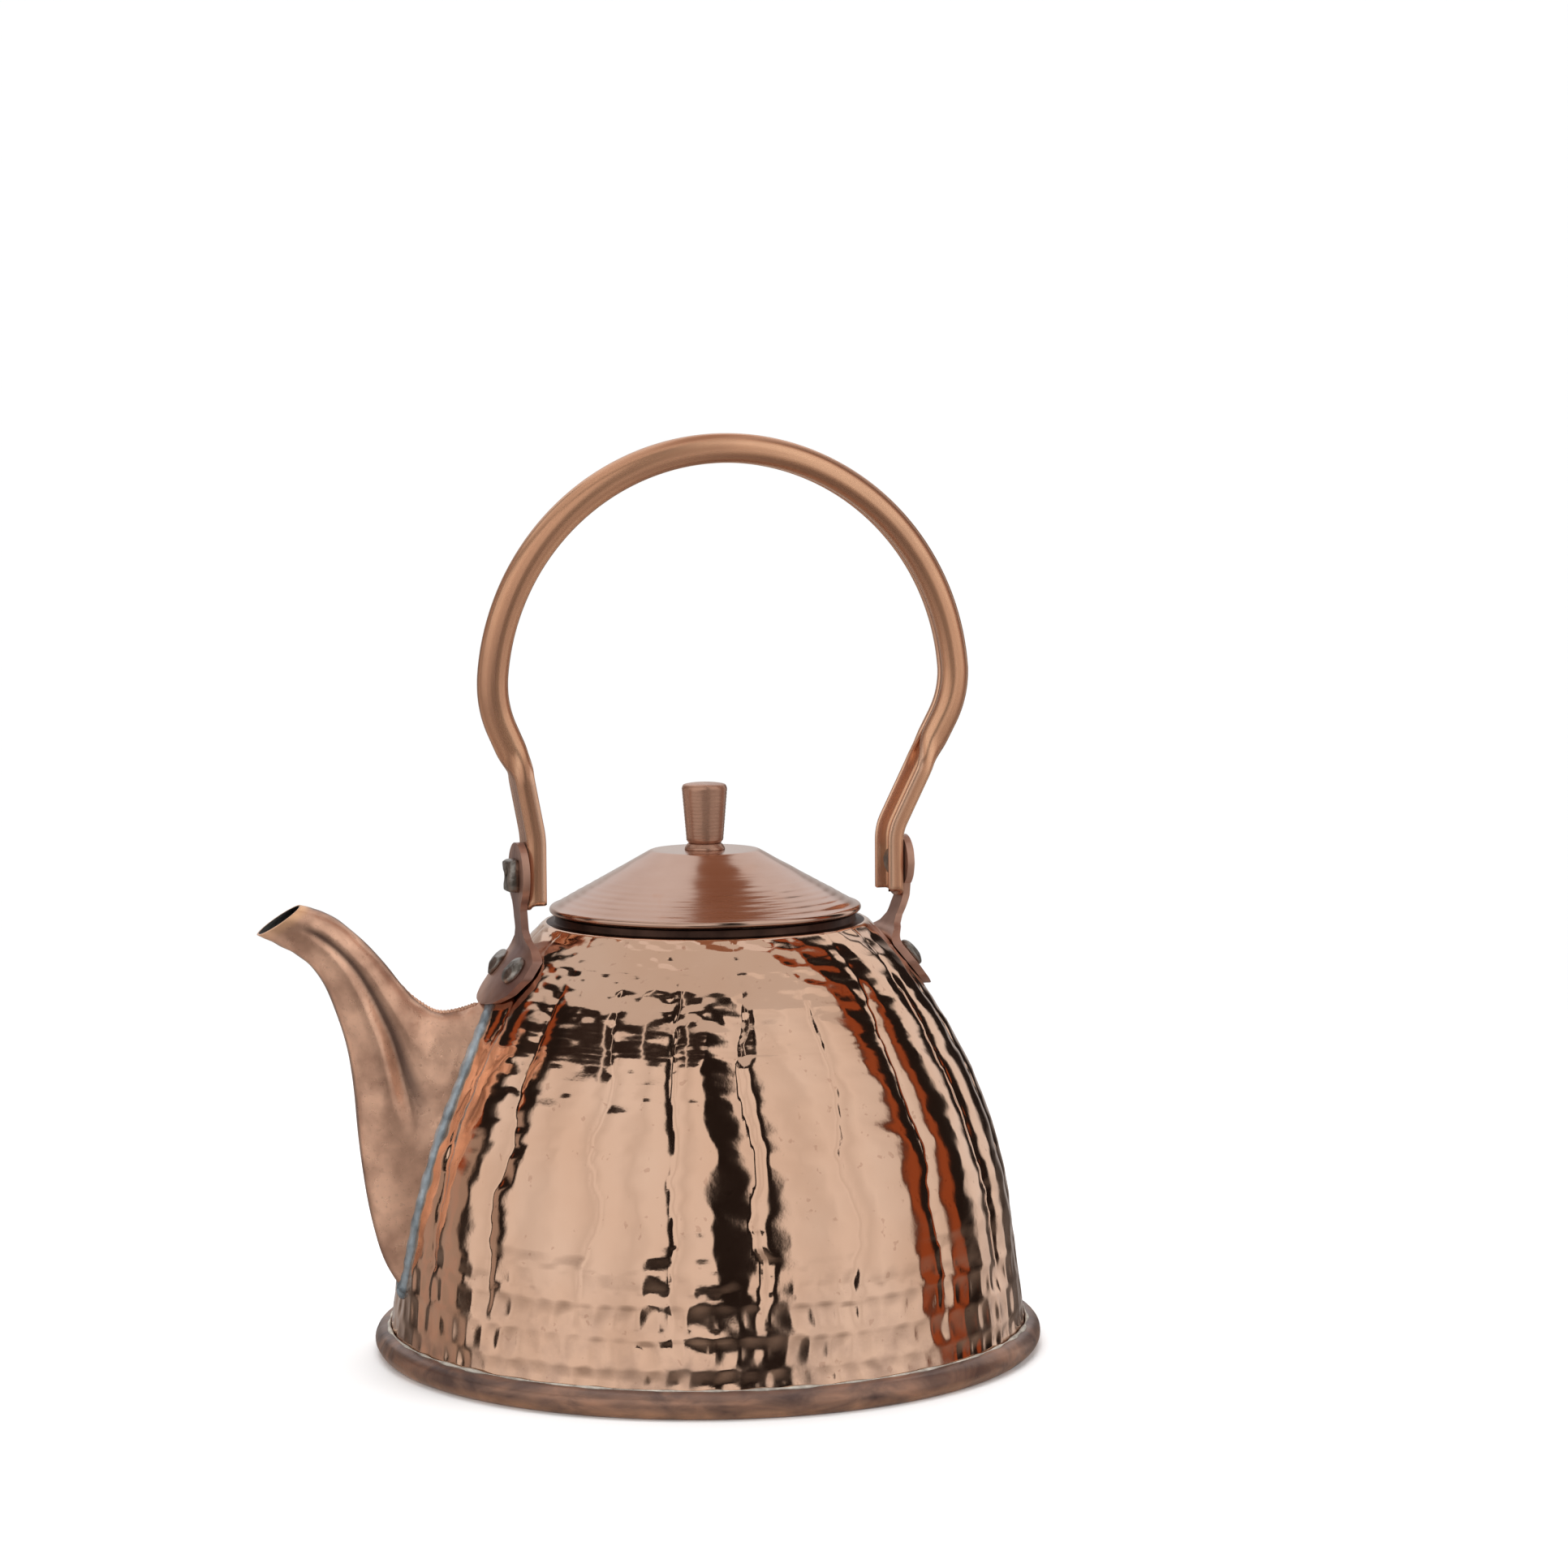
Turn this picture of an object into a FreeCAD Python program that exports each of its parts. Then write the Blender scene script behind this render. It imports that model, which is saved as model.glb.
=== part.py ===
import FreeCAD, Part

import math
import os
import re

import Sketcher
from FreeCAD import Placement, Rotation, Vector

# A small copper kettle. Its walls are sheet copper, its spout and base are soldered on, its lid lifts out, and
# its bail handle swings on two rivets. The origin is the middle of the base, on the floor. +Z is up, the spout
# points to -X, and the handle stands in the XZ plane. All sizes are in millimetres.
SIZES = {
    # body wall: a slight flare up to the belly, then one dome arc up to the mouth
    "wall": 1.1,
    "dome_radius": 124.64,
    "dome_centre": -48.10,
    "dome_height": 17.48,
    "flare_angle": 6.3,
    "mouth_height": 105.4,
    "neck_radius": 37.0,
    "neck_top": 107.4,
    # base pan: a flat disc whose rim is rolled up into a bead round the foot of the wall
    "pan_sheet": 1.0,
    "bead_centre": 79.3,
    "bead_tube": 3.2,
    "lip_reach": 0.64,
    "seam_height": 1.5,
    "seam_width": 2.2,
    # pouring holes in the wall behind the spout
    "strainer_hole": 1.9,
    "strainer_pitch": 9.0,
    "strainer_bottom": 36.0,
    "strainer_column": 4.6,
    # spout
    "spout_sheet": 1.0,
    "solder_width": 1.2,
    "solder_height": 0.9,
    "braze_width": 1.6,
    "braze_height": 0.7,
    # lid
    "lid_rim_radius": 38.4,
    "lid_rim_tube": 0.9,
    "lid_rim_bottom": 107.7,
    "lid_top_radius": 13.3,
    "lid_top": 122.9,
    "lid_sheet": 1.0,
    "collar_radius": 35.5,
    "collar_sheet": 0.9,
    "collar_bottom": 102.5,
    "collar_fillet": 1.3,
    # knob
    "tenon_radius": 1.9,
    "washer_radius": 5.0,
    "washer_top_radius": 4.2,
    "washer_height": 1.5,
    "backing_radius": 5.5,
    "backing_sheet": 0.8,
    "peened_radius": 3.0,
    "peened_height": 1.2,
    "knob_foot_radius": 4.6,
    "knob_radius": 5.65,
    "knob_height": 14.9,
    "knob_edge": 0.7,
    # handle
    "pivot_height": 118.2,
    "pivot_radius": 2.5,
    "pivot_clearance": 0.08,
    "side_clearance": 0.3,
    "bail_sheet": 1.1,
    "bail_centre": 6.0,
    "bail_height": 162.0,
    "bail_radius": 59.25,
    "hoop_foot": 4.0,
    "bail_depth": 7.3,
    "bail_width": 8.0,
    "leg_depth": 4.5,
    "leg_width": 11.5,
    "leg_end": 109.6,
    "leg_round": 8.7,
    "opening_height": 145.0,
    "opening_span": 4.5,
    "spout_leg": 43.5,
    "back_leg": 48.05,
    # ears
    "ear_sheet": 1.8,
    "ear_foot_top": 101.0,
    "ear_foot_bottom": 86.0,
    "ear_foot_width": 30.0,
    "ear_rivet_angle": 9.5,
    "ear_rivet_height": 94.8,
    "ear_rivet_radius": 2.0,
    "ear_rivet_head": 3.8,
    "ear_rivet_dome": 2.0,
    "burr_radius": 3.0,
    "burr_dome": 1.0,
    "burr_gap": 0.25,
    # handle rivets
    "spout_head_width": 4.2,
    "spout_head_height": 2.6,
    "spout_inner_head": 3.5,
    "spout_inner_height": 1.6,
    "back_head_width": 3.2,
    "back_head_height": 0.8,
    "back_inner_head": 3.7,
    "back_inner_height": 2.2,
}

DRILL_LENGTH = 12.0
STRAINER_ROWS = 5

doc = FreeCAD.newDocument("kettle")
sheet = doc.addObject("Spreadsheet::Sheet", "Sizes")
for row, (alias, size) in enumerate(SIZES.items(), start=1):
    sheet.set(f"A{row}", alias)
    sheet.set(f"B{row}", str(size))
    sheet.setAlias(f"B{row}", alias)
doc.recompute()

finished = []


def bound(formula):
    """The formula with each size's name pointing at its cell of the sheet."""
    return re.sub(r"[a-z_]+", lambda word: f"Sizes.{word[0]}" if word[0] in SIZES else word[0], formula)


def value(formula):
    """What a formula of the sheet's sizes comes to."""
    return float(sheet.evalExpression(bound(formula)))


def finish(piece):
    """Marks an object as one of the kettle's sub-parts."""
    finished.append(piece)
    return piece


def new_body(label):
    return doc.addObject("PartDesign::Body", label)


def new_sketch(body, name, plane):
    """A sketch on one of the body's own origin planes."""
    sketch = body.newObject("Sketcher::SketchObject", f"{body.Label}_{name}")
    support = next(feature for feature in body.Origin.OriginFeatures if feature.Role == plane)
    sketch.AttachmentSupport = [(support, "")]
    sketch.MapMode = "FlatFace"
    return sketch


def pin_point(sketch, geometry, end, across, up):
    """Fixes a point of the sketch to two formulas."""
    for kind, formula in (("DistanceX", across), ("DistanceY", up)):
        index = sketch.addConstraint(Sketcher.Constraint(kind, geometry, end, value(formula)))
        sketch.setExpression(f"Constraints[{index}]", bound(formula))


def add_side(sketch, start, stop, arc):
    """Adds one side of an outline. An arc is a radius and which side of the way along holds its centre."""
    if arc is None:
        return sketch.addGeometry(Part.LineSegment(start, stop)), False
    radius, turn = arc
    along = stop - start
    reach = math.sqrt(max(value(radius) ** 2 - (along.Length / 2) ** 2, 0))
    sideways = Vector(-along.y, along.x, 0).normalize()
    centre = (start + stop) / 2 + sideways * (reach if turn == "left" else -reach)
    first, last = (start, stop) if turn == "left" else (stop, start)
    angles = [math.atan2((p - centre).y, (p - centre).x) for p in (first, last)]
    circle = Part.Circle(centre, Vector(0, 0, 1), value(radius))
    side = sketch.addGeometry(Part.ArcOfCircle(circle, *angles))
    index = sketch.addConstraint(Sketcher.Constraint("Radius", side, value(radius)))
    sketch.setExpression(f"Constraints[{index}]", bound(radius))
    return side, turn == "right"


def outline(sketch, corners, arcs=None):
    """Draws a closed outline through corners, each a pair of formulas. arcs holds the sides that are round."""
    points = [Vector(value(across), value(up), 0) for across, up in corners]
    sides = []
    for number, start in enumerate(points):
        stop = points[(number + 1) % len(points)]
        sides.append(add_side(sketch, start, stop, (arcs or {}).get(number)))
    for number, (side, backwards) in enumerate(sides):
        following, following_backwards = sides[(number + 1) % len(sides)]
        tail = 1 if backwards else 2
        head = 2 if following_backwards else 1
        sketch.addConstraint(Sketcher.Constraint("Coincident", side, tail, following, head))
        pin_point(sketch, side, 2 if backwards else 1, *corners[number])


def circle_at(sketch, across, up, radius):
    ring = Part.Circle(Vector(value(across), value(up), 0), Vector(0, 0, 1), value(radius))
    geometry = sketch.addGeometry(ring)
    index = sketch.addConstraint(Sketcher.Constraint("Radius", geometry, value(radius)))
    sketch.setExpression(f"Constraints[{index}]", bound(radius))
    pin_point(sketch, geometry, 3, across, up)


def turned(label, corners, arcs=None, angle=360):
    """A body turned about the upright axis from an outline in the XZ plane."""
    body = new_body(label)
    sketch = new_sketch(body, "outline", "XZ_Plane")
    outline(sketch, corners, arcs)
    turn = body.newObject("PartDesign::Revolution", f"{label}_turn")
    turn.Profile = sketch
    turn.ReferenceAxis = (sketch, ["V_Axis"])
    turn.Angle = angle
    turn.Midplane = angle < 360
    return body


def pocket(body, sketch, name):
    """Cuts a sketch of the YZ plane out of the body, both ways along X."""
    cut = body.newObject("PartDesign::Pocket", f"{body.Label}_{name}")
    cut.Profile = sketch
    cut.Type = "ThroughAll"
    cut.Midplane = True
    return cut


def drilled(label, body, holes, radius):
    """The body with round holes through it, each with its middle and direction at one of the places."""
    drills = doc.addObject("Part::MultiFuse", f"{label}_drills")
    rods = []
    for number, place in enumerate(holes):
        rod = doc.addObject("Part::Cylinder", f"{label}_drill_{number}")
        rod.setExpression("Radius", bound(radius))
        rod.Height = DRILL_LENGTH
        rod.Placement = place * Placement(Vector(0, 0, -DRILL_LENGTH / 2), Rotation())
        rods.append(rod)
    drills.Shapes = rods
    return boolean("Cut", label, body, drills)


def boolean(kind, label, base, tool):
    result = doc.addObject(f"Part::{kind}", label)
    result.Base = base
    result.Tool = tool
    return result


def dome_point(offset, height):
    """The corner of a surface at this height, which stands offset outside the dome of the body."""
    radius = f"dome_centre + sqrt((dome_radius + {offset})^2 - ({height} - dome_height)^2)"
    return radius, height


def belly_point(offset):
    """Where the flare of the foot runs into the dome."""
    reach = f"(dome_radius + {offset})"
    radius = f"dome_centre + {reach} * cos(flare_angle * 1 deg)"
    height = f"dome_height + {reach} * sin(flare_angle * 1 deg)"
    return radius, height


def foot_point(offset, height):
    """The flared wall of the foot at this height."""
    radius, belly = belly_point(offset)
    return f"{radius} + ({belly} - ({height})) * tan(flare_angle * 1 deg)", height


def make_body_shell():
    """The wall: flare, dome, flat shoulder and upright neck, with its pouring holes and rivet holes."""
    corners = [
        foot_point("0", "pan_sheet"),
        belly_point("0"),
        dome_point("0", "mouth_height"),
        ("neck_radius", "mouth_height"),
        ("neck_radius", "neck_top"),
        ("neck_radius - wall", "neck_top"),
        ("neck_radius - wall", "mouth_height - wall"),
        dome_point("(0 - wall)", "(mouth_height - wall)"),
        belly_point("(0 - wall)"),
        foot_point("(0 - wall)", "pan_sheet"),
    ]
    arcs = {1: ("dome_radius", "left"), 7: ("dome_radius - wall", "right")}
    body = turned("body_wall", corners, arcs)
    holes = new_sketch(body, "strainer", "YZ_Plane")
    for step in range(STRAINER_ROWS):
        circle_at(holes, "0", f"strainer_bottom + strainer_pitch * {step}", "strainer_hole")
    for step in range(STRAINER_ROWS - 1):
        up = f"strainer_bottom + strainer_pitch * {step + 0.5}"
        circle_at(holes, "strainer_column", up, "strainer_hole")
        circle_at(holes, "0 - strainer_column", up, "strainer_hole")
    cut = body.newObject("PartDesign::Pocket", "body_wall_strainer_holes")
    cut.Profile = holes
    cut.setExpression("Length", bound("bead_centre + bead_tube"))
    places = [place for side in SIDES for place, name in ear_rivet_places(side)]
    finish(drilled("body_shell", body, places, "ear_rivet_radius"))


def make_base_pan():
    """The base: a flat disc that turns up and over into a hollow bead, whose lip meets the wall."""
    lip = "(bead_centre - lip_reach)"
    across = "(bead_centre - " + lip + ")"
    corners = [
        ("0", "0"),
        ("bead_centre", "0"),
        ("bead_centre + bead_tube", "bead_tube"),
        (lip, f"bead_tube + sqrt(bead_tube^2 - {across}^2)"),
        (lip, f"bead_tube + sqrt((bead_tube - pan_sheet)^2 - {across}^2)"),
        ("bead_centre + bead_tube - pan_sheet", "bead_tube"),
        ("bead_centre", "pan_sheet"),
        ("0", "pan_sheet"),
    ]
    arcs = {
        1: ("bead_tube", "left"),
        2: ("bead_tube", "left"),
        4: ("bead_tube - pan_sheet", "right"),
        5: ("bead_tube - pan_sheet", "right"),
    }
    return finish(turned("base_pan", corners, arcs))


def make_base_seam():
    """The line of solder in the corner between the bead's crown and the wall."""
    lip = "(bead_centre - lip_reach)"
    crown = "bead_tube + sqrt(bead_tube^2 - (bead_centre - {0})^2)"
    foot = f"({lip} + seam_width)"
    corners = [
        (lip, crown.format(lip)),
        (foot, crown.format(foot)),
        foot_point("0.02", "(2 * bead_tube + seam_height)"),
        foot_point("0.02", "(2 * bead_tube)"),
    ]
    return finish(turned("base_solder_seam", corners, {0: ("bead_tube", "right")}))


def make_former(label, offset):
    """A solid plug in the shape of the body's outside, to trim what is soldered on to it."""
    corners = [
        ("0", "pan_sheet"),
        foot_point(offset, "pan_sheet"),
        belly_point(offset),
        dome_point(offset, "mouth_height"),
        ("0", "mouth_height"),
    ]
    return turned(label, corners, {2: (f"dome_radius + {offset}", "left")})


# The spout's sections fan out from its foot on the wall to its mouth. Each has its upper end, its lower end, its
# half width, how far its widest place lies towards the lower end, and how pointed its ends are.
SPOUT_SECTIONS = [
    ((-50.0, 90.5), (-72.0, 11.0), 9.4, -0.30, 1.30),
    ((-57.0, 87.6), (-78.8, 20.5), 9.3, -0.30, 1.30),
    ((-61.4, 86.2), (-83.3, 31.0), 8.8, -0.20, 1.15),
    ((-66.4, 85.6), (-86.8, 50.0), 7.6, 0.00, 1.00),
    ((-70.6, 87.2), (-88.5, 69.0), 6.8, 0.12, 1.00),
    ((-75.1, 91.4), (-91.2, 83.0), 6.3, 0.12, 1.00),
    ((-81.5, 99.6), (-95.8, 94.6), 5.9, 0.10, 1.00),
    ((-89.7, 107.8), (-100.8, 100.4), 5.3, 0.05, 1.00),
    ((-95.6, 111.5), (-105.9, 103.5), 5.0, 0.00, 1.00),
    ((-100.6, 113.1), (-111.1, 106.3), 4.7, 0.00, 1.00),
]
SECTION_POINTS = 14


def half_section(section, inset, side):
    """Points round one half of a section, from its lower end to its upper end, drawn in by inset."""
    (top_x, top_z), (low_x, low_z), width, skew, point = section
    top = Vector(top_x, 0, top_z)
    low = Vector(low_x, 0, low_z)
    along = (top - low).normalize()
    length = (top - low).Length - 2 * inset
    points = [low + along * inset]
    for number in range(1, SECTION_POINTS):
        angle = math.pi * number / SECTION_POINTS
        reach = length * (1 - math.cos(angle)) / 2
        bulge = math.sin(angle) ** point * (1 + skew * math.cos(angle)) * (width - inset)
        points.append(points[0] + along * reach + Vector(0, side * bulge, 0))
    return points + [points[0] + along * length]


def closed_solid(faces):
    """The solid that a set of faces encloses."""
    shell = Part.makeShell(faces)
    shell.sewShape()
    solid = Part.makeSolid(shell)
    if solid.Volume < 0:
        solid.reverse()
    return solid


def spout_solid(label, inset, lengthen=0):
    """The spout's outside, or its inside when inset, which then runs on past the mouth."""
    sections = list(SPOUT_SECTIONS)
    if lengthen:
        (top_x, top_z), (low_x, low_z), *shape = SPOUT_SECTIONS[-1]
        ahead = Vector(low_z - top_z, 0, top_x - low_x).normalize() * lengthen
        sections.append(((top_x + ahead.x, top_z + ahead.z), (low_x + ahead.x, low_z + ahead.z), *shape))
    faces = []
    foot, mouth = [], []
    for side in (1, -1):
        skin = Part.BSplineSurface()
        skin.interpolate([half_section(section, inset, side) for section in sections])
        faces.append(skin.toShape())
        first, last, *_ = skin.bounds()
        foot.append(skin.uIso(first).toShape())
        mouth.append(skin.uIso(last).toShape())
    faces += [Part.Face(Part.Wire(Part.__sortEdges__(edges))) for edges in (foot, mouth)]
    feature = doc.addObject("Part::Feature", label)
    feature.Shape = closed_solid(faces)
    return feature


def make_spout(former, ear):
    """The hollow spout, the solder round its foot and the brazed seam along its back. The ear's foot covers the
    top of the spout's root, so all three stop at the ear."""
    raised_former = make_former("raised_former", "solder_height")
    outside = spout_solid("spout_outside", 0)
    inside = spout_solid("spout_inside", value("spout_sheet"), lengthen=4)
    swollen = spout_solid("spout_swollen", -value("solder_width"))
    hollow = boolean("Cut", "spout_hollow", outside, inside)
    root = boolean("Cut", "spout_root", hollow, former)
    band = boolean("Common", "solder_band", swollen, raised_former)
    ring = boolean("Cut", "solder_ring", band, outside)
    fillet = boolean("Cut", "solder_fillet", ring, former)
    ridge = boolean("Cut", "braze_off_spout", make_braze_ridge(), outside)
    braze = boolean("Cut", "braze_off_body", ridge, raised_former)
    for label, piece in (("spout_shell", root), ("spout_solder_seam", fillet), ("spout_back_braze", braze)):
        finish(boolean("Cut", label, piece, ear))


def make_braze_ridge():
    """A thin upright strip that follows the back of the spout from its foot to half way up."""
    backs = [Vector(top[0], 0, top[1]) for top, *_ in SPOUT_SECTIONS[1:7]]
    lift = value("braze_height")
    upper = Part.BSplineCurve()
    upper.interpolate([point + Vector(0.3, 0, 1).normalize() * lift for point in backs])
    lower = Part.BSplineCurve()
    lower.interpolate([point - Vector(0.3, 0, 1).normalize() * lift for point in backs])
    edges = [
        upper.toShape(),
        lower.toShape(),
        Part.LineSegment(upper.StartPoint, lower.StartPoint).toShape(),
        Part.LineSegment(upper.EndPoint, lower.EndPoint).toShape(),
    ]
    face = Part.Face(Part.Wire(Part.__sortEdges__(edges)))
    width = value("braze_width")
    face.translate(Vector(0, -width / 2, 0))
    ridge = doc.addObject("Part::Feature", "braze_ridge")
    ridge.Shape = face.extrude(Vector(0, width, 0))
    return ridge


LID_FALL = "((lid_top - lid_rim_bottom - 2 * lid_rim_tube) / (lid_rim_radius - lid_rim_tube - lid_top_radius))"
LID_DROP = f"(lid_sheet * sqrt(1 + {LID_FALL}^2))"


def lid_height(radius, drop="0"):
    """The height of the lid's cone at a radius, less drop."""
    return f"(lid_top - ({radius} - lid_top_radius) * {LID_FALL} - {drop})"


def make_lid_shell():
    """The spun lid: flat top, straight cone and a rim rolled to a small round edge."""
    rim = "(lid_rim_radius - lid_rim_tube)"
    inner_top = f"(lid_top_radius - ({LID_DROP} - lid_sheet) / {LID_FALL})"
    inner_rim = f"({rim} - lid_rim_tube)"
    corners = [
        ("tenon_radius", "lid_top - lid_sheet"),
        ("tenon_radius", "lid_top"),
        ("lid_top_radius", "lid_top"),
        (rim, lid_height(rim)),
        ("lid_rim_radius", "lid_rim_bottom + lid_rim_tube"),
        (rim, "lid_rim_bottom"),
        (inner_rim, "lid_rim_bottom + lid_rim_tube"),
        (inner_rim, lid_height(inner_rim, LID_DROP)),
        (inner_top, "lid_top - lid_sheet"),
    ]
    arcs = {3: ("lid_rim_tube", "right"), 4: ("lid_rim_tube", "right"), 5: ("lid_rim_tube", "right")}
    return finish(turned("lid_shell", corners, arcs))


def make_lid_collar():
    """The ring under the lid that drops into the neck, and the solder that holds it."""
    inner = "(collar_radius - collar_sheet)"
    corners = [
        (inner, "collar_bottom"),
        (inner, lid_height(inner, LID_DROP)),
        ("collar_radius", lid_height("collar_radius", LID_DROP)),
        ("collar_radius", "collar_bottom"),
    ]
    finish(turned("lid_collar", corners))
    inward = f"({inner} - collar_fillet)"
    solder = [
        (inner, lid_height(inner, LID_DROP)),
        (inner, f"{lid_height(inner, LID_DROP)} - collar_fillet"),
        (inward, lid_height(inward, LID_DROP)),
    ]
    finish(turned("lid_collar_solder", solder))


def make_knob():
    """The knob with its tenon peened over under the lid, the washer that it stands on and the one behind."""
    under = "(lid_top - lid_sheet - backing_sheet)"
    foot = "(lid_top + washer_height)"
    top = f"({foot} + knob_height)"
    corners = [
        ("0", f"{under} - peened_height"),
        ("peened_radius - 0.8", f"{under} - peened_height"),
        ("peened_radius", under),
        ("tenon_radius", under),
        ("tenon_radius", foot),
        ("knob_foot_radius - knob_edge", foot),
        ("knob_foot_radius", f"{foot} + knob_edge"),
        ("knob_radius", f"{top} - 2 * knob_edge"),
        ("knob_radius - knob_edge", f"{top} - 0.5 * knob_edge"),
        ("knob_radius - 3 * knob_edge", top),
        ("0", top),
    ]
    arcs = {1: ("peened_height * 1.4", "left"), 7: ("knob_edge * 1.6", "left")}
    finish(turned("lid_knob", corners, arcs))
    washer = [
        ("tenon_radius", "lid_top"),
        ("washer_radius", "lid_top"),
        ("washer_radius", "lid_top + 0.3"),
        ("washer_top_radius", foot),
        ("tenon_radius", foot),
    ]
    finish(turned("knob_washer", washer))
    backing = [
        ("tenon_radius", under),
        ("backing_radius", under),
        ("backing_radius", "lid_top - lid_sheet"),
        ("tenon_radius", "lid_top - lid_sheet"),
    ]
    finish(turned("knob_backing_washer", backing))


# The two ears differ because the bail leans a little to the back of the kettle. leg is the size that places the
# leg beside the ear. rise holds the outer face of the strap from the foot up to the flat lobe, and lobe is half
# the lobe's width.
SIDES = {
    "spout": {
        "sign": -1,
        "leg": "spout_leg",
        "rise": [(47.2, 99.2), (46.85, 101.0), (47.3, 105.5)],
        "flat": 109.0,
        "lobe": 8.0,
    },
    "back": {
        "sign": 1,
        "leg": "back_leg",
        "rise": [(47.5, 99.4), (49.0, 102.3), (50.9, 106.0)],
        "flat": 109.4,
        "lobe": 6.6,
    },
}
FOOT_OUTLINE = [(3.4, 104.6), (9.0, 102.0), (13.6, 98.6), (15.0, 95.0), (13.2, 90.8), (8.0, 88.2), (0.0, 87.3)]
# the straight side of the neck meets the round lobe this share of the lobe's radius out from its middle
LOBE_SHARE = 0.86


def mirrored(across, sign):
    return across if sign > 0 else f"0 - ({across})"


def lobe_face(side):
    """How far out the inner face of the ear's lobe stands: just clear of the handle's leg."""
    return f"({side['leg']} + leg_depth / 2 + side_clearance)"


def ear_rivet_places(side_name):
    """Where an ear's two rivets sit on the wall, each with its axis square to the wall."""
    sign = SIDES[side_name]["sign"]
    radius, height = (value(formula) for formula in dome_point("0", "ear_rivet_height"))
    tilt = math.degrees(math.asin((height - value("dome_height")) / value("dome_radius")))
    middle = 0 if sign > 0 else 180
    places = []
    for name, swing in (("front", -1), ("rear", 1)):
        azimuth = middle + sign * swing * value("ear_rivet_angle")
        turn = Rotation(Vector(0, 0, 1), azimuth) * Rotation(Vector(0, 1, 0), 90 - tilt)
        spot = Rotation(Vector(0, 0, 1), azimuth).multVec(Vector(radius, 0, height))
        places.append((Placement(spot, turn), f"{side_name}_ear_rivet_{name}"))
    return places


def make_ear(side_name, former):
    """One ear: a foot that lies on the wall, a narrow neck and a round lobe for the handle's rivet."""
    side = SIDES[side_name]
    sign = side["sign"]
    label = f"{side_name}_ear_blank"
    foot = [
        dome_point("0", "ear_foot_bottom"),
        dome_point("ear_sheet", "ear_foot_bottom"),
        dome_point("ear_sheet", "ear_foot_top"),
        dome_point("0", "ear_foot_top"),
    ]
    foot = [(mirrored(across, sign), up) for across, up in foot]
    turns = ("left", "right") if sign > 0 else ("right", "left")
    arcs = {1: ("dome_radius + ear_sheet", turns[0]), 3: ("dome_radius", turns[1])}
    body = turned(label, foot, arcs, angle=50)

    outer = [(str(across), str(up)) for across, up in side["rise"]]
    outer.append((f"{lobe_face(side)} + ear_sheet", str(side["flat"])))
    outer.append((f"{lobe_face(side)} + ear_sheet", "pivot_height + 12"))
    inner = [(f"{across} - ear_sheet", up) for across, up in reversed(outer)]
    strap_sketch = new_sketch(body, "strap_outline", "XZ_Plane")
    outline(strap_sketch, [(mirrored(across, sign), up) for across, up in outer + inner])
    strap = body.newObject("PartDesign::Pad", f"{label}_strap")
    strap.Profile = strap_sketch
    strap.Midplane = True
    strap.setExpression("Length", bound("ear_foot_width + 8"))

    trim_sketch = new_sketch(body, "trim", "YZ_Plane")
    frame = [("0 - 40", "70"), ("40", "70"), ("40", "140"), ("0 - 40", "140")]
    outline(trim_sketch, frame)
    lobe_side = side["lobe"] * LOBE_SHARE
    lobe_low = f"pivot_height - {side['lobe'] * math.sqrt(1 - LOBE_SHARE**2)}"
    right = [(str(across), str(up)) for across, up in reversed(FOOT_OUTLINE)] + [(str(lobe_side), lobe_low)]
    top = [("0", f"pivot_height + {side['lobe']}")]
    left = [(f"0 - {across}", up) for across, up in reversed(right[1:])]
    rounds = {len(right) - 1: (str(side["lobe"]), "left"), len(right): (str(side["lobe"]), "left")}
    outline(trim_sketch, right + top + left, rounds)
    pocket(body, trim_sketch, "trimming")

    hole_sketch = new_sketch(body, "pivot", "YZ_Plane")
    circle_at(hole_sketch, "0", "pivot_height", "pivot_radius")
    pocket(body, hole_sketch, "pivot_hole")
    places = [place for place, name in ear_rivet_places(side_name)]
    punched = drilled(f"{side_name}_ear_punched", body, places, "ear_rivet_radius")
    return finish(boolean("Cut", f"{side_name}_side_ear", punched, former))


def make_ear_rivets(side_name):
    """The rivets of one ear's foot: a domed head outside, a shank and a burr inside the wall."""
    for place, label in ear_rivet_places(side_name):
        seat = "0 - wall - burr_gap"
        corners = [
            ("0", f"{seat} - burr_dome"),
            ("burr_radius - 1", f"{seat} - burr_dome"),
            ("burr_radius", seat),
            ("ear_rivet_radius", seat),
            ("ear_rivet_radius", "ear_sheet + 0.1"),
            ("ear_rivet_head", "ear_sheet + 0.1"),
            ("ear_rivet_head", "ear_sheet + 0.5"),
            ("ear_rivet_head * 0.6", "ear_sheet + ear_rivet_dome * 0.85"),
            ("0", "ear_sheet + ear_rivet_dome"),
        ]
        body = turned(label, corners)
        body.Placement = place
        finish(body)


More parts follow.
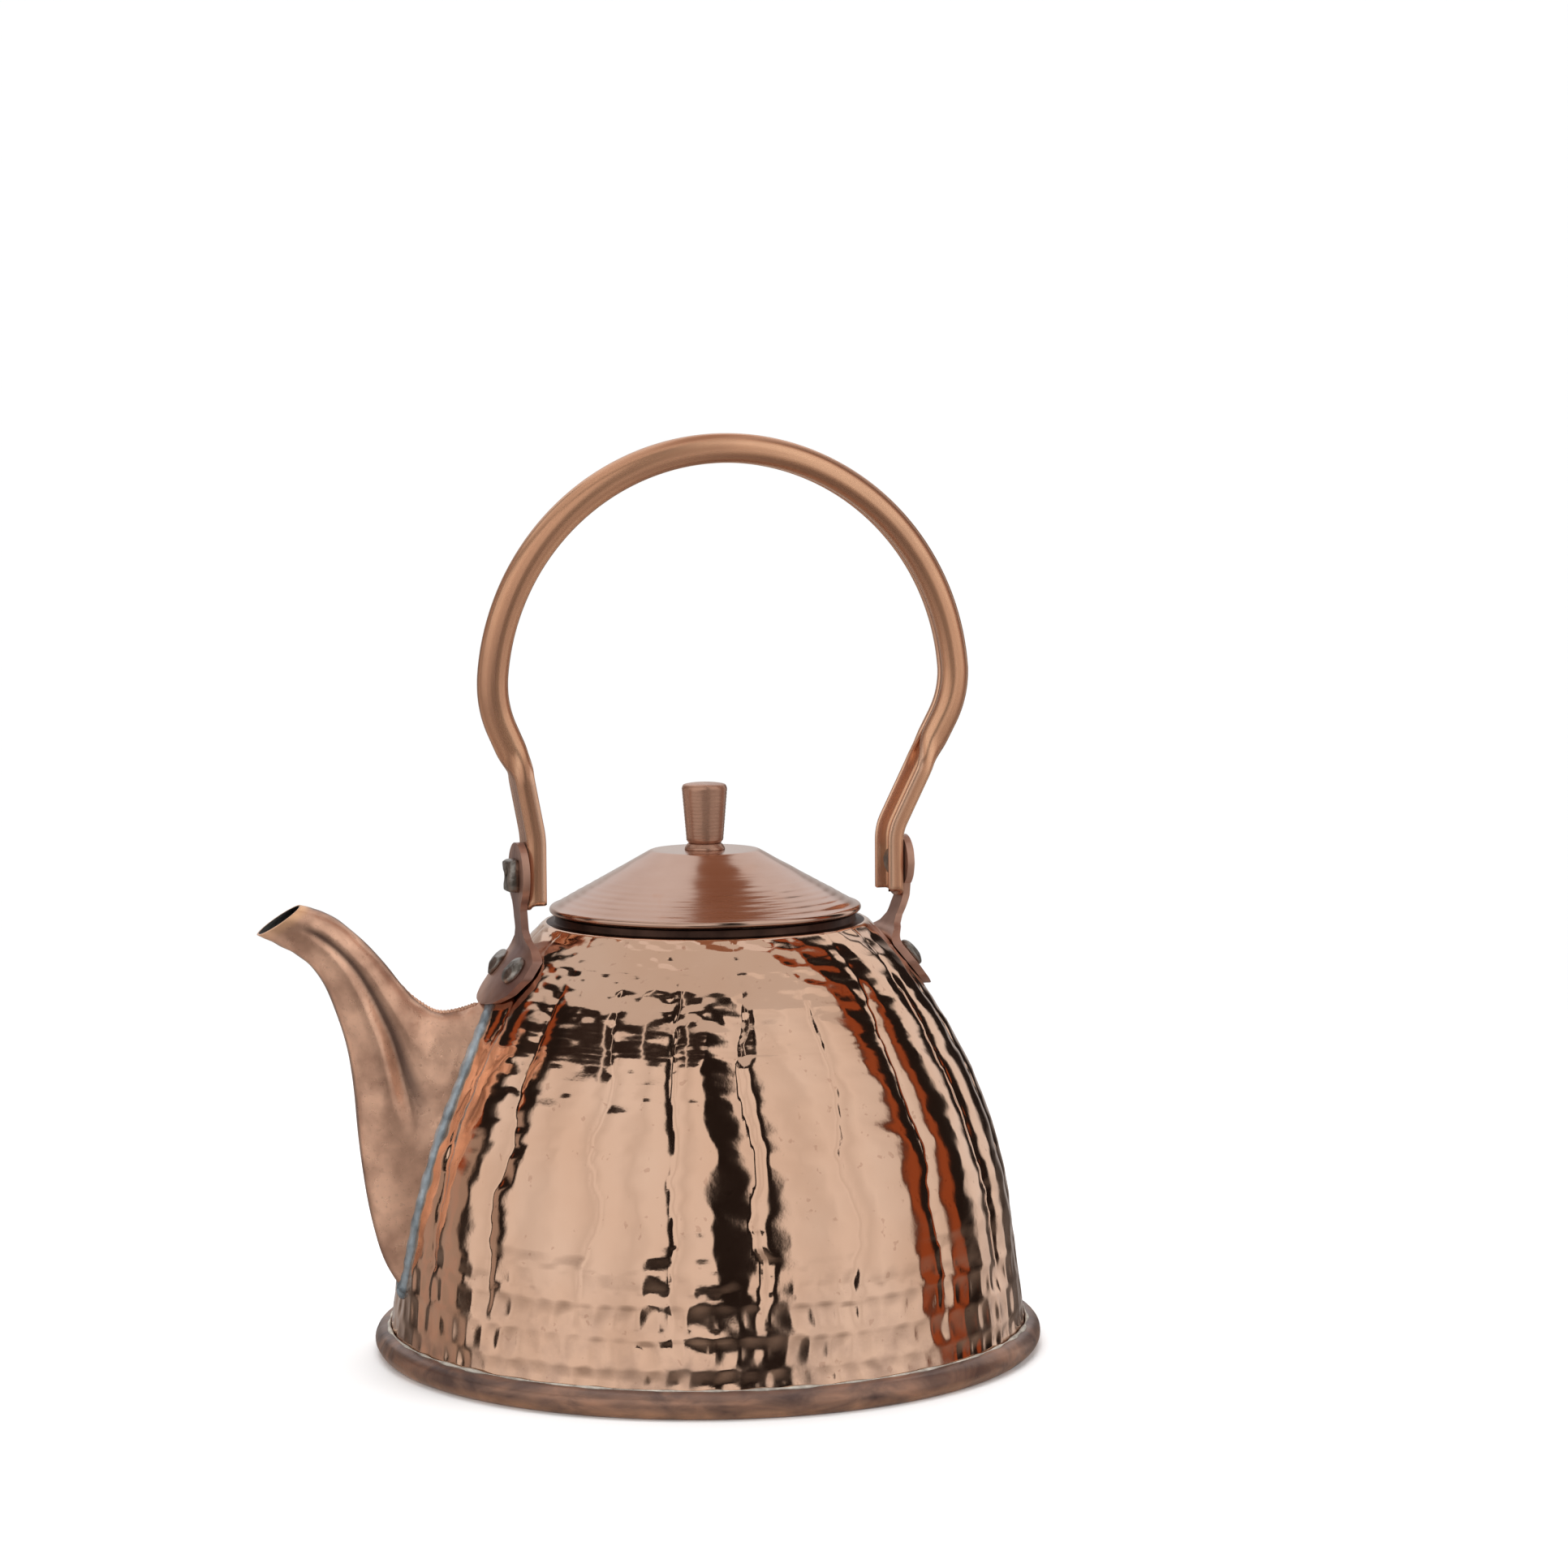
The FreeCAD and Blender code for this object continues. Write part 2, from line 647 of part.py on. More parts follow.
def make_pivot_rivet(side_name):
    """A handle rivet: its shank is tight in the ear and runs free in the leg."""
    side = SIDES[side_name]
    outside = f"({lobe_face(side)} + ear_sheet)"
    inside = f"({side['leg']} + leg_depth / 2 - bail_sheet - side_clearance)"
    outer_head, outer_height = f"{side_name}_head_width", f"{side_name}_head_height"
    inner_head, inner_height = f"{side_name}_inner_head", f"{side_name}_inner_height"
    corners = [
        ("0", f"{inside} - {inner_height}"),
        (f"{inner_head} - 0.6", f"{inside} - {inner_height}"),
        (inner_head, f"{inside} - {inner_height} / 2"),
        (f"{inner_head} - 0.3", inside),
        ("pivot_radius", inside),
        ("pivot_radius", outside),
        (outer_head, outside),
        (outer_head, f"{outside} + {outer_height} * 0.6"),
        (f"{outer_head} - 0.5", f"{outside} + {outer_height}"),
        ("0", f"{outside} + {outer_height}"),
    ]
    body = turned(f"{side_name}_pivot_rivet", corners)
    upright = Vector(0, 0, value("pivot_height"))
    body.Placement = Placement(upright, Rotation(Vector(0, 1, 0), 90 * side["sign"]))
    finish(body)


# The bail's centre line turns these corners on its way up each leg to the hoop. Each corner has its distance
# from the leg's place, its height and the radius of its bend.
SPOUT_LEG_BENDS = [(0.0, 127.5, 25.0), (-3.1, 144.0, 12.0), (-9.75, 159.0, 26.0)]
BACK_LEG_BENDS = [(0.0, 126.2, 12.0), (8.5, 143.2, 12.0), (17.2, 159.5, 24.0)]
STATIONS = 64


def bent_line(points):
    """Straight runs joined by tangent arcs. Each point but the ends carries the radius of its bend."""
    edges = []
    reached = points[0][0]
    for before, (corner, radius), after in zip(points, points[1:], points[2:]):
        back = (before[0] - corner).normalize()
        ahead = (after[0] - corner).normalize()
        half_turn = (math.pi - back.getAngle(ahead)) / 2
        run = radius * math.tan(half_turn)
        start, stop = corner + back * run, corner + ahead * run
        middle = corner + (back + ahead).normalize() * (radius / math.cos(half_turn) - radius)
        edges.append(Part.LineSegment(reached, start).toShape())
        edges.append(Part.Arc(start, middle, stop).toShape())
        reached = stop
    edges.append(Part.LineSegment(reached, points[-1][0]).toShape())
    return edges


def bail_line():
    """Evenly spaced points along the bail's centre line: the spout side's leg, the hoop and the back leg. The hoop
    is an arc, whose two feet stand a few degrees above its middle."""
    middle, height = value("bail_centre"), value("bail_height")
    reach, rise = value("bail_radius * cos(hoop_foot * 1 deg)"), value("bail_radius * sin(hoop_foot * 1 deg)")
    feet = [Vector(middle + sign * reach, 0, height + rise) for sign in (-1, 1)]
    edges = []
    for place, bends, foot in (
        (-value("spout_leg"), SPOUT_LEG_BENDS, feet[0]),
        (value("back_leg"), BACK_LEG_BENDS, feet[1]),
    ):
        leg = [(Vector(place, 0, value("leg_end")), 0)]
        leg += [(Vector(place + across, 0, up), radius) for across, up, radius in bends]
        edges.append(bent_line(leg + [(foot, 0)]))
    hoop = Part.Arc(feet[0], Vector(middle, 0, height + value("bail_radius")), feet[1])
    points = Part.Wire(edges[0] + [hoop.toShape()] + edges[1][::-1]).discretize(Number=STATIONS + 1)
    return points if points[0].x < points[-1].x else points[::-1]


def sheet_line(share):
    """Half of the middle line of the bail's bent sheet: its outward and sideways places, from the back's middle
    to the edge. share is 0 in the hoop, where the sheet is rolled nearly shut, and 1 in the legs, where it is
    an open channel."""
    half = value("bail_sheet") / 2
    round_reach = value("bail_width") / 2 - half
    depth = value("bail_depth") / 2 - half
    flat_reach = value("leg_width") / 2 - half
    flat_depth = value("leg_depth") / 2 - half
    rolled = []
    for step in range(5):
        angle = math.pi / 2 * step / 4
        rolled.append((depth - round_reach * (1 - math.cos(angle)), round_reach * math.sin(angle)))
    rolled += [(-depth * 0.55, round_reach * 0.98), (-depth * 0.93, round_reach * 0.72), (-depth, round_reach * 0.3)]
    channel = [
        (flat_depth, 0.0),
        (flat_depth, flat_reach * 0.3),
        (flat_depth, flat_reach * 0.6),
        (flat_depth * 0.97, flat_reach * 0.82),
        (flat_depth * 0.6, flat_reach * 0.97),
        (0.0, flat_reach),
        (-flat_depth * 0.5, flat_reach),
        (-flat_depth, flat_reach),
    ]
    return [(a + (c - a) * share, b + (d - b) * share) for (a, b), (c, d) in zip(rolled, channel)]


def bail_section(middle, ahead):
    """The outline of the bail's bent sheet at one station."""
    outward = Vector(-ahead.z, 0, ahead.x).normalize()
    span = value("opening_span")
    share = min(max((value("opening_height") + span - middle.z) / (2 * span), 0), 1)
    share = share * share * (3 - 2 * share)
    half_line = sheet_line(share)
    whole = [(a, -b) for a, b in reversed(half_line[1:])] + half_line
    half = value("bail_sheet") / 2
    outer = []
    inner = []
    for number, (out, side) in enumerate(whole):
        before = whole[max(number - 1, 0)]
        after = whole[min(number + 1, len(whole) - 1)]
        run_out, run_side = after[0] - before[0], after[1] - before[1]
        length = math.hypot(run_out, run_side)
        step_out, step_side = run_side / length * half, -run_out / length * half
        outer.append(middle + outward * (out + step_out) + Vector(0, side + step_side, 0))
        inner.append(middle + outward * (out - step_out) + Vector(0, side - step_side, 0))
    curves = []
    for points in (outer, inner[::-1]):
        curve = Part.BSplineCurve()
        curve.interpolate(points)
        curves.append(curve.toShape())
    ends = [(outer[-1], inner[-1]), (inner[0], outer[0])]
    edges = [curves[0], Part.LineSegment(*ends[0]).toShape(), curves[1], Part.LineSegment(*ends[1]).toShape()]
    return Part.Wire(edges)


def make_bail():
    """The handle: one strip of sheet, rolled nearly shut round the hoop and opened into a channel at each leg."""
    line = bail_line()
    sections = []
    for station, middle in enumerate(line):
        ahead = line[min(station + 1, STATIONS)] - line[max(station - 1, 0)]
        sections.append(bail_section(middle, ahead))
    shape = Part.makeLoft(sections, True, False)
    upward = value("pivot_height")
    reach = 2 * value("back_leg")
    radius = value("pivot_radius") + value("pivot_clearance")
    axis = Vector(-reach, 0, upward)
    hole = Part.makeCylinder(radius, 2 * reach, axis, Vector(1, 0, 0))
    turn = value("leg_round")
    below = Part.makeBox(2 * reach, 2 * turn, 2 * turn, Vector(-reach, -turn, upward - 2 * turn))
    corners = below.cut(Part.makeCylinder(turn, 2 * reach, axis, Vector(1, 0, 0)))
    bail = doc.addObject("Part::Feature", "handle_bail")
    bail.Shape = shape.cut(hole).cut(corners)
    finish(bail)


make_body_shell()
make_base_pan()
make_base_seam()
body_former = make_former("body_former", "0")
ears = {side_name: make_ear(side_name, body_former) for side_name in SIDES}
make_spout(body_former, ears["spout"])
make_lid_shell()
make_lid_collar()
make_knob()
for side_name in SIDES:
    make_ear_rivets(side_name)
    make_pivot_rivet(side_name)
make_bail()

doc.recompute()
faults = []
for thing in doc.Objects:
    if "Invalid" in thing.State or "Error" in thing.State:
        faults.append(f"{thing.Label}: {thing.State}")
for piece in finished:
    if piece.Shape.isNull() or not piece.Shape.isValid() or not piece.Shape.Solids:
        faults.append(f"{piece.Label}: its shape is not a valid solid")
if faults:
    raise RuntimeError("; ".join(faults))

os.makedirs("parts", exist_ok=True)
for piece in finished:
    piece.Shape.exportStep(f"parts/{piece.Label}.step")
    solids = len(piece.Shape.Solids)
    print(f"{piece.Label}: {piece.Shape.Volume:.1f} mm3 in {solids} solids")
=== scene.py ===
import math

import bmesh
import bpy
import numpy as np
from mathutils import Matrix, Vector
from mathutils.kdtree import KDTree


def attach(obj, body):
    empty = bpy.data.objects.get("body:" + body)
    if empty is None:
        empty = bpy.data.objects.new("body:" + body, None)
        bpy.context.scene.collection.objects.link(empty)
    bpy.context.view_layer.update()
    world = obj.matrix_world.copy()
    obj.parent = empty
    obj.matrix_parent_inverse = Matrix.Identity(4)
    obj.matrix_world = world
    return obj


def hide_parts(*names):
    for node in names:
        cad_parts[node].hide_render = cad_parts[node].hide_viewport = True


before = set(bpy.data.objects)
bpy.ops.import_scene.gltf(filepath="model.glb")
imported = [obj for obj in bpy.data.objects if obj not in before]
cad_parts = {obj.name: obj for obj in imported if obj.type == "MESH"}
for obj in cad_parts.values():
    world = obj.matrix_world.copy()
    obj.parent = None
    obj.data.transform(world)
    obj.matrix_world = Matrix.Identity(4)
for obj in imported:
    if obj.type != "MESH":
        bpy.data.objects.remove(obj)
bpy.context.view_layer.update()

MM = 0.001
BLACK, WHITE = (0, 0, 0), (1, 1, 1)

# ---------------------------------------------------------------- sizes, in millimetres, as in the frame
WALL = 1.1
DOME_RADIUS = 124.64
DOME_CENTRE = -48.10
DOME_HEIGHT = 17.48
FLARE = math.radians(6.3)
MOUTH_HEIGHT = 105.4
NECK_RADIUS = 37.0
NECK_TOP = 107.4
SHOULDER_RADIUS = 39.4
PAN_SHEET = 1.0
BEAD_CENTRE = 79.3
BEAD_TUBE = 3.2
PIVOT_HEIGHT = 118.2
NECK_INSIDE = NECK_RADIUS - WALL
BELLY_HEIGHT = DOME_HEIGHT + DOME_RADIUS * math.sin(FLARE)


def wall_radius(height, offset=0.0):
    """The body's outer radius at a height, on a surface that stands offset outside it."""
    reach = DOME_RADIUS + offset
    belly_r = DOME_CENTRE + reach * math.cos(FLARE)
    belly_z = DOME_HEIGHT + reach * math.sin(FLARE)
    height = np.asarray(height, dtype=float)
    dome = DOME_CENTRE + np.sqrt(np.maximum(reach**2 - (height - DOME_HEIGHT) ** 2, 0))
    flare = belly_r + (belly_z - height) * math.tan(FLARE)
    return np.where(height > belly_z, dome, flare)


def wall_slope(height):
    """How far the wall's normal tilts up from level at a height, in radians."""
    height = np.asarray(height, dtype=float)
    dome = np.arcsin(np.clip((height - DOME_HEIGHT) / DOME_RADIUS, -1, 1))
    return np.where(height > BELLY_HEIGHT, dome, FLARE)


# ---------------------------------------------------------------- small helpers for meshes
def smooth_step(low, high, x):
    t = np.clip((np.asarray(x, dtype=float) - low) / (high - low), 0, 1)
    return t * t * (3 - 2 * t)


def turns(count):
    """Angles once round, evenly spaced."""
    return np.linspace(0, 2 * math.pi, count, endpoint=False)


def spline(knots, values, x):
    """A natural cubic curve through values at knots, read at x. values may have several columns."""
    knots = np.asarray(knots, dtype=float)
    values = np.asarray(values, dtype=float)
    flat = values.reshape(len(knots), -1)
    step = np.diff(knots)
    size = len(knots)
    system = np.zeros((size, size))
    right = np.zeros_like(flat)
    system[0, 0] = system[-1, -1] = 1
    for k in range(1, size - 1):
        system[k, k - 1 : k + 2] = step[k - 1], 2 * (step[k - 1] + step[k]), step[k]
        right[k] = 6 * ((flat[k + 1] - flat[k]) / step[k] - (flat[k] - flat[k - 1]) / step[k - 1])
    bend = np.linalg.solve(system, right)
    x = np.atleast_1d(np.asarray(x, dtype=float))
    k = np.clip(np.searchsorted(knots, x) - 1, 0, size - 2)
    h = step[k][:, None]
    a = (knots[k + 1] - x)[:, None]
    b = (x - knots[k])[:, None]
    result = (bend[k] * a**3 + bend[k + 1] * b**3) / (6 * h)
    result += (flat[k] / h - bend[k] * h / 6) * a + (flat[k + 1] / h - bend[k + 1] * h / 6) * b
    return result.reshape((len(x),) + values.shape[1:])


def ripple(u, v, waves, seed):
    """A gentle random swell over two periodic coordinates in radians, between about -1 and 1."""
    chooser = np.random.default_rng(seed)
    total = np.zeros(np.broadcast(u, v).shape)
    for _ in range(waves):
        across = chooser.integers(-9, 10)
        along = chooser.uniform(-9, 9)
        total = total + np.sin(across * u + along * v + chooser.uniform(0, 2 * math.pi))
    return total / math.sqrt(waves)


def grid_faces(rows, columns, wrap_columns=True, wrap_rows=False, start=0):
    """Quads over a grid of points stored row after row."""
    row = np.arange(rows if wrap_rows else rows - 1)
    column = np.arange(columns if wrap_columns else columns - 1)
    r, c = np.meshgrid(row, column, indexing="ij")
    r2, c2 = (r + 1) % rows, (c + 1) % columns
    quads = np.stack([r * columns + c, r * columns + c2, r2 * columns + c2, r2 * columns + c], -1)
    return (quads.reshape(-1, 4) + start).tolist()


def new_piece(name, points, faces, body, finish, replaced=(), layers=()):
    """Makes a mesh piece from points in millimetres, rides it on its body and gives it its material. The slot
    is named like the finish. layers are (name, a number for each point) pairs that the
    material reads."""
    mesh = bpy.data.meshes.new(name)
    mesh.from_pydata((np.asarray(points).reshape(-1, 3) * MM).tolist(), [], faces)
    for title, numbers in layers:
        layer = mesh.attributes.new(title, "FLOAT", "POINT")
        layer.data.foreach_set("value", np.ravel(numbers).astype(np.float32))
    mesh.validate()
    mesh.polygons.foreach_set("use_smooth", [True] * len(mesh.polygons))
    mesh.update()
    piece = bpy.data.objects.new(name, mesh)
    bpy.context.collection.objects.link(piece)
    mesh.materials.append(MATERIALS[finish])
    fix_normals(piece)
    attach(piece, body)
    if replaced:
        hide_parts(*replaced)
    return piece


def fix_normals(piece):
    """Turns every face to point out of the piece."""
    work = bmesh.new()
    work.from_mesh(piece.data)
    bmesh.ops.remove_doubles(work, verts=work.verts, dist=0.002 * MM)
    bmesh.ops.recalc_face_normals(work, faces=work.faces)
    work.to_mesh(piece.data)
    work.free()


def turned(radius, height, angle):
    """Points at a radius and a height, round the upright axis."""
    return np.stack([radius * np.cos(angle), radius * np.sin(angle), height + 0 * angle], -1)


def lathe(profile, columns, roughen=None):
    """Points and faces of a closed outline, (radius, height) pairs, turned about the upright axis."""
    profile = np.asarray(profile, dtype=float)
    angle = turns(columns)
    radius = np.repeat(profile[:, :1], columns, axis=1)
    height = np.repeat(profile[:, 1:], columns, axis=1)
    if roughen is not None:
        radius, height = roughen(radius, height, np.broadcast_to(angle, radius.shape))
    return turned(radius, height, angle), grid_faces(len(profile), columns, wrap_rows=True)


def rounded(corners, steps=4):
    """The outline through corners, each (radius, height, rounding), with its corners rounded."""
    path = []
    count = len(corners)
    for k, (x, z, turn) in enumerate(corners):
        here = np.array([x, z], dtype=float)
        if turn <= 0:
            path.append(here)
            continue
        before = np.array(corners[k - 1][:2], dtype=float) - here
        after = np.array(corners[(k + 1) % count][:2], dtype=float) - here
        start = here + before / np.linalg.norm(before) * turn
        stop = here + after / np.linalg.norm(after) * turn
        for t in np.linspace(0, 1, steps + 1):
            path.append((1 - t) ** 2 * start + 2 * t * (1 - t) * here + t * t * stop)
    return np.array(path)


def divided(path, longest):
    """The closed outline with its long sides split up, so that bumps have points to move."""
    result = []
    for k, here in enumerate(path):
        after = path[(k + 1) % len(path)]
        parts = max(1, int(math.ceil(np.linalg.norm(after - here) / longest)))
        result += [here + (after - here) * t / parts for t in range(parts)]
    return np.array(result)


def placed(points, origin, axis):
    """Points modelled about the upright axis, moved so that the axis points along axis from origin."""
    turn = Vector((0, 0, 1)).rotation_difference(Vector(axis)).to_matrix()
    return np.asarray(points).reshape(-1, 3) @ np.array(turn).T + np.asarray(origin)


def tube(path, radii, sides=12, closed=False, flatten=1.0, normal=(0.0, 0.0, 1.0)):
    """A tube of varying radius along a path. flatten is its section's share of height along the normal."""
    path = np.asarray(path, dtype=float)
    ahead = np.roll(path, -1, 0) - np.roll(path, 1, 0)
    if not closed:
        ahead[0] = path[1] - path[0]
        ahead[-1] = path[-1] - path[-2]
    ahead /= np.linalg.norm(ahead, axis=1)[:, None]
    up = np.asarray(normal) * np.ones_like(path)
    up = up - ahead * np.sum(up * ahead, 1)[:, None]
    up /= np.linalg.norm(up, axis=1)[:, None]
    side = np.cross(ahead, up)
    angle = turns(sides)
    cosine, sine = np.cos(angle)[None, :, None], np.sin(angle)[None, :, None]
    ring = cosine * side[:, None] + sine * up[:, None] * flatten
    points = path[:, None] + ring * np.asarray(radii)[:, None, None]
    faces = grid_faces(len(path), sides, wrap_rows=closed)
    if not closed:
        last = (len(path) - 1) * sides
        faces += [list(range(sides))[::-1], list(range(last, last + sides))]
    return points, faces


# ---------------------------------------------------------------- materials
MATERIALS = {}


class Nodes:
    def __init__(self, name):
        self.name = name
        self.material = bpy.data.materials.new(name)
        self.material.use_nodes = True
        self.tree = self.material.node_tree
        self.shader = self.tree.nodes["Principled BSDF"]
        self.place = self.tree.nodes.new("ShaderNodeTexCoord").outputs["Object"]

    def feed(self, socket, source):
        """Links a socket to a node's output, or sets it to a number, a vector or a colour."""
        if isinstance(source, bpy.types.NodeSocket):
            self.tree.links.new(source, socket)
        else:
            socket.default_value = (*source, 1) if socket.type == "RGBA" else source

    def add(self, kind, inputs=None, **settings):
        node = self.tree.nodes.new(kind)
        for key, setting in settings.items():
            setattr(node, key, setting)
        for key, source in (inputs or {}).items():
            self.feed(node.inputs[key], source)
        return node

    def stretched(self, scale):
        return self.add("ShaderNodeMapping", {"Vector": self.place, "Scale": scale}).outputs["Vector"]

    def split(self):
        return self.add("ShaderNodeSeparateXYZ", {"Vector": self.place}).outputs

    def layer(self, name):
        """The numbers of one of the mesh's layers, 0 on a mesh without it."""
        return self.add("ShaderNodeAttribute", attribute_name=name).outputs["Fac"]

    def noise(self, scale, detail=3.0, vector=None, distortion=0.0):
        inputs = {"Vector": vector or self.place, "Scale": scale, "Detail": detail, "Distortion": distortion}
        return self.add("ShaderNodeTexNoise", inputs).outputs["Fac"]

    def ramp(self, source, stops):
        node = self.add("ShaderNodeValToRGB", {"Fac": source})
        line = node.color_ramp
        while len(line.elements) < len(stops):
            line.elements.new(0.5)
        for element, (at, colour) in zip(line.elements, stops):
            element.position = at
            element.color = (*colour, 1)
        return node.outputs["Color"]

    def fade(self, source, low, high, first=BLACK, last=WHITE):
        return self.ramp(source, [(low, first), (high, last)])

    def mix(self, share, first, second):
        return self.add("ShaderNodeMix", {0: share, 6: first, 7: second}, data_type="RGBA").outputs[2]

    def maths(self, operation, first, second=0.0):
        return self.add("ShaderNodeMath", {0: first, 1: second}, operation=operation).outputs[0]

    def times(self, first, second):
        return self.maths("MULTIPLY", first, second)

    def scaled(self, source, factor, start):
        return self.maths("ADD", self.times(source, factor), start)

    def cover(self, colour, mask, share, other):
        """The colour with a share of another over it where the mask is 1."""
        return self.mix(self.times(mask, share), colour, other)

    def bump(self, source, strength, distance):
        node = self.add("ShaderNodeBump", {"Height": source, "Strength": strength, "Distance": distance})
        self.feed(self.shader.inputs["Normal"], node.outputs["Normal"])

    def finish(self, colour, roughness, metallic=1.0):
        for key, source in (("Base Color", colour), ("Roughness", roughness), ("Metallic", metallic)):
            self.feed(self.shader.inputs[key], source)
        MATERIALS[self.name] = self.material


def polished_copper():
    """The wall: bright, with a few dark flecks, and duller and browner near its foot."""
    n = Nodes("polished_copper")
    warm = n.fade(n.noise(38, 4), 0.35, 0.65, (0.90, 0.565, 0.39), (0.945, 0.62, 0.445))
    fleck = n.fade(n.noise(420, 2), 0.67, 0.72)
    low = n.fade(n.times(n.split()["Z"], 10.0), 0.05, 0.32, WHITE, BLACK)
    dull = n.times(low, n.fade(n.noise(150, 5), 0.42, 0.68))
    colour = n.cover(warm, fleck, 0.4, (0.55, 0.30, 0.20))
    colour = n.cover(colour, dull, 0.55, (0.52, 0.33, 0.25))
    rough = n.maths("ADD", n.scaled(n.noise(90, 4), 0.09, 0.04), n.times(dull, 0.20))
    n.bump(n.noise(520, 3), 0.05, 0.0004)
    n.finish(colour, rough)


def painted_shade_copper():
    """The near-black copper of the neck and the shoulder under the lid: painted shade for the gap under the
    lid's rim.
    """
    n = Nodes("painted_shade_copper")
    n.finish(n.fade(n.noise(160, 4), 0.3, 0.7, (0.05, 0.028, 0.022), (0.14, 0.075, 0.055)), 0.45)


def spun_copper():
    """The lid's copper, with fine lines round the axis that it was spun about."""
    n = Nodes("spun_copper")
    colour = n.fade(n.noise(45, 4), 0.3, 0.7, (0.70, 0.44, 0.33), (0.80, 0.53, 0.41))
    colour = n.cover(colour, n.fade(n.noise(70, 3, distortion=0.8), 0.60, 0.74), 0.35, (0.74, 0.34, 0.18))
    x, y, z = n.split()
    reach = n.maths("SQRT", n.maths("ADD", n.maths("POWER", x, 2.0), n.maths("POWER", y, 2.0)))
    joined = n.add("ShaderNodeCombineXYZ", {"X": reach, "Z": n.times(z, 0.3)})
    rings = n.noise(1300, 2, vector=joined.outputs["Vector"])
    n.bump(rings, 0.10, 0.0003)
    n.finish(colour, n.scaled(rings, 0.12, 0.10))


def satin_copper(name, light, dark, stain, rough, stretch=(1, 1, 1), pits=0.0, grain=260.0, cloud=55.0):
    """Copper with a dull skin: cloudy colour, darker stains, and scratches along its length or pits. A mesh's
    layer of painted crease shade and dark edge lines darkens it, and its layer of painted highlight brightens
    it."""
    n = Nodes(name)
    colour = n.fade(n.noise(cloud, 6), 0.34, 0.62, dark, light)
    colour = n.cover(colour, n.fade(n.noise(30, 4, distortion=1.2), 0.52, 0.70), 0.6, stain)
    streaks = n.noise(grain, 4, vector=n.stretched(stretch))
    relief = streaks
    if pits:
        spots = n.fade(n.noise(900, 3), 0.60, 0.68)
        colour = n.cover(colour, spots, 0.35, dark)
        relief = n.maths("SUBTRACT", streaks, n.times(spots, pits))
    # painted shade along the spout's crease, and dark lines along its back and front
    colour = n.cover(colour, n.layer("crease_shade_and_edge_lines"), 0.88, (0.060, 0.034, 0.030))
    # painted highlight, on the spout along its lip
    colour = n.cover(colour, n.layer("wear_and_painted_highlight"), 0.8, (0.95, 0.55, 0.30))
    n.bump(relief, 0.16, 0.0003)
    n.finish(colour, n.scaled(streaks, 0.18, rough - 0.09), 0.72)


def drawn_copper():
    """The bail's copper, with streaks that run along the strip. The layer called round is how far a point is
    round the strip's section, and run is how far it is along the strip, both in metres."""
    n = Nodes("handle_copper")
    joined = n.add("ShaderNodeCombineXYZ", {"X": n.layer("round"), "Y": n.times(n.layer("run"), 0.03)})
    broad = n.noise(300, 1, vector=joined.outputs["Vector"])
    fine = n.noise(900, 1, vector=joined.outputs["Vector"])
    brown, middle, bright = (0.42, 0.205, 0.120), (0.74, 0.385, 0.225), (0.97, 0.56, 0.345)
    colour = n.ramp(broad, [(0.34, brown), (0.50, middle), (0.64, bright)])
    colour = n.cover(colour, fine, 0.35, (0.50, 0.25, 0.145))
    colour = n.cover(colour, n.fade(n.noise(26, 3, distortion=0.8), 0.50, 0.70), 0.5, (0.42, 0.215, 0.135))
    # painted highlight along the strip's two long edges
    colour = n.cover(colour, n.layer("wear_and_painted_highlight"), 0.6, (0.95, 0.60, 0.42))
    n.finish(colour, n.scaled(fine, 0.14, 0.20), 0.78)


def worn_metal(name, light, dark, rough, scale, metallic=1.0):
    """Dull grey metal with a blotched skin, for solder, tin and rivets."""
    n = Nodes(name)
    colour = n.fade(n.noise(scale, 5, distortion=0.6), 0.30, 0.70, dark, light)
    n.bump(n.noise(scale * 4, 4), 0.5, 0.0004)
    n.finish(colour, n.scaled(n.noise(scale * 2.5, 3), 0.3, rough - 0.15), metallic)


def patina_copper():
    """The bead of the base: brown and grey-purple, orange where it has been rubbed along the lower edge."""
    n = Nodes("base_copper")
    blotch = n.noise(75, 5, distortion=0.7, vector=n.stretched((1, 1, 2.2)))
    sooty, brown, red = (0.09, 0.056, 0.050), (0.25, 0.145, 0.105), (0.50, 0.265, 0.17)
    colour = n.ramp(blotch, [(0.30, sooty), (0.50, brown), (0.72, red)])
    height = n.times(n.split()["Z"], 100.0)
    low = n.fade(height, 0.08, 0.30, WHITE, BLACK)
    wear_and_painted_highlight = n.times(low, n.fade(n.noise(120, 4), 0.35, 0.65, (0.1, 0.1, 0.1)))
    colour = n.cover(colour, wear_and_painted_highlight, 0.7, (0.70, 0.36, 0.20))
    colour = n.cover(colour, n.fade(height, 0.45, 0.62), 0.25, (0.20, 0.175, 0.175))
    n.bump(n.noise(500, 4), 0.30, 0.0004)
    n.finish(colour, n.scaled(n.noise(210, 4), 0.3, 0.20), 0.65)


polished_copper()
painted_shade_copper()
spun_copper()
drawn_copper()
patina_copper()
# light colour, dark colour, stain, roughness
spout_colours = (0.96, 0.58, 0.40), (0.50, 0.28, 0.19), (0.44, 0.235, 0.16)
knob_colours = (0.62, 0.35, 0.24), (0.44, 0.24, 0.165), (0.34, 0.18, 0.125)
ear_colours = (0.60, 0.34, 0.245), (0.30, 0.155, 0.115), (0.22, 0.115, 0.105)
satin_copper("spout_copper", *spout_colours, 0.30, pits=0.7, grain=420, cloud=95)
satin_copper("knob_copper", *knob_colours, 0.28, stretch=(1, 1, 5), grain=160)
satin_copper("ear_copper", *ear_colours, 0.34)
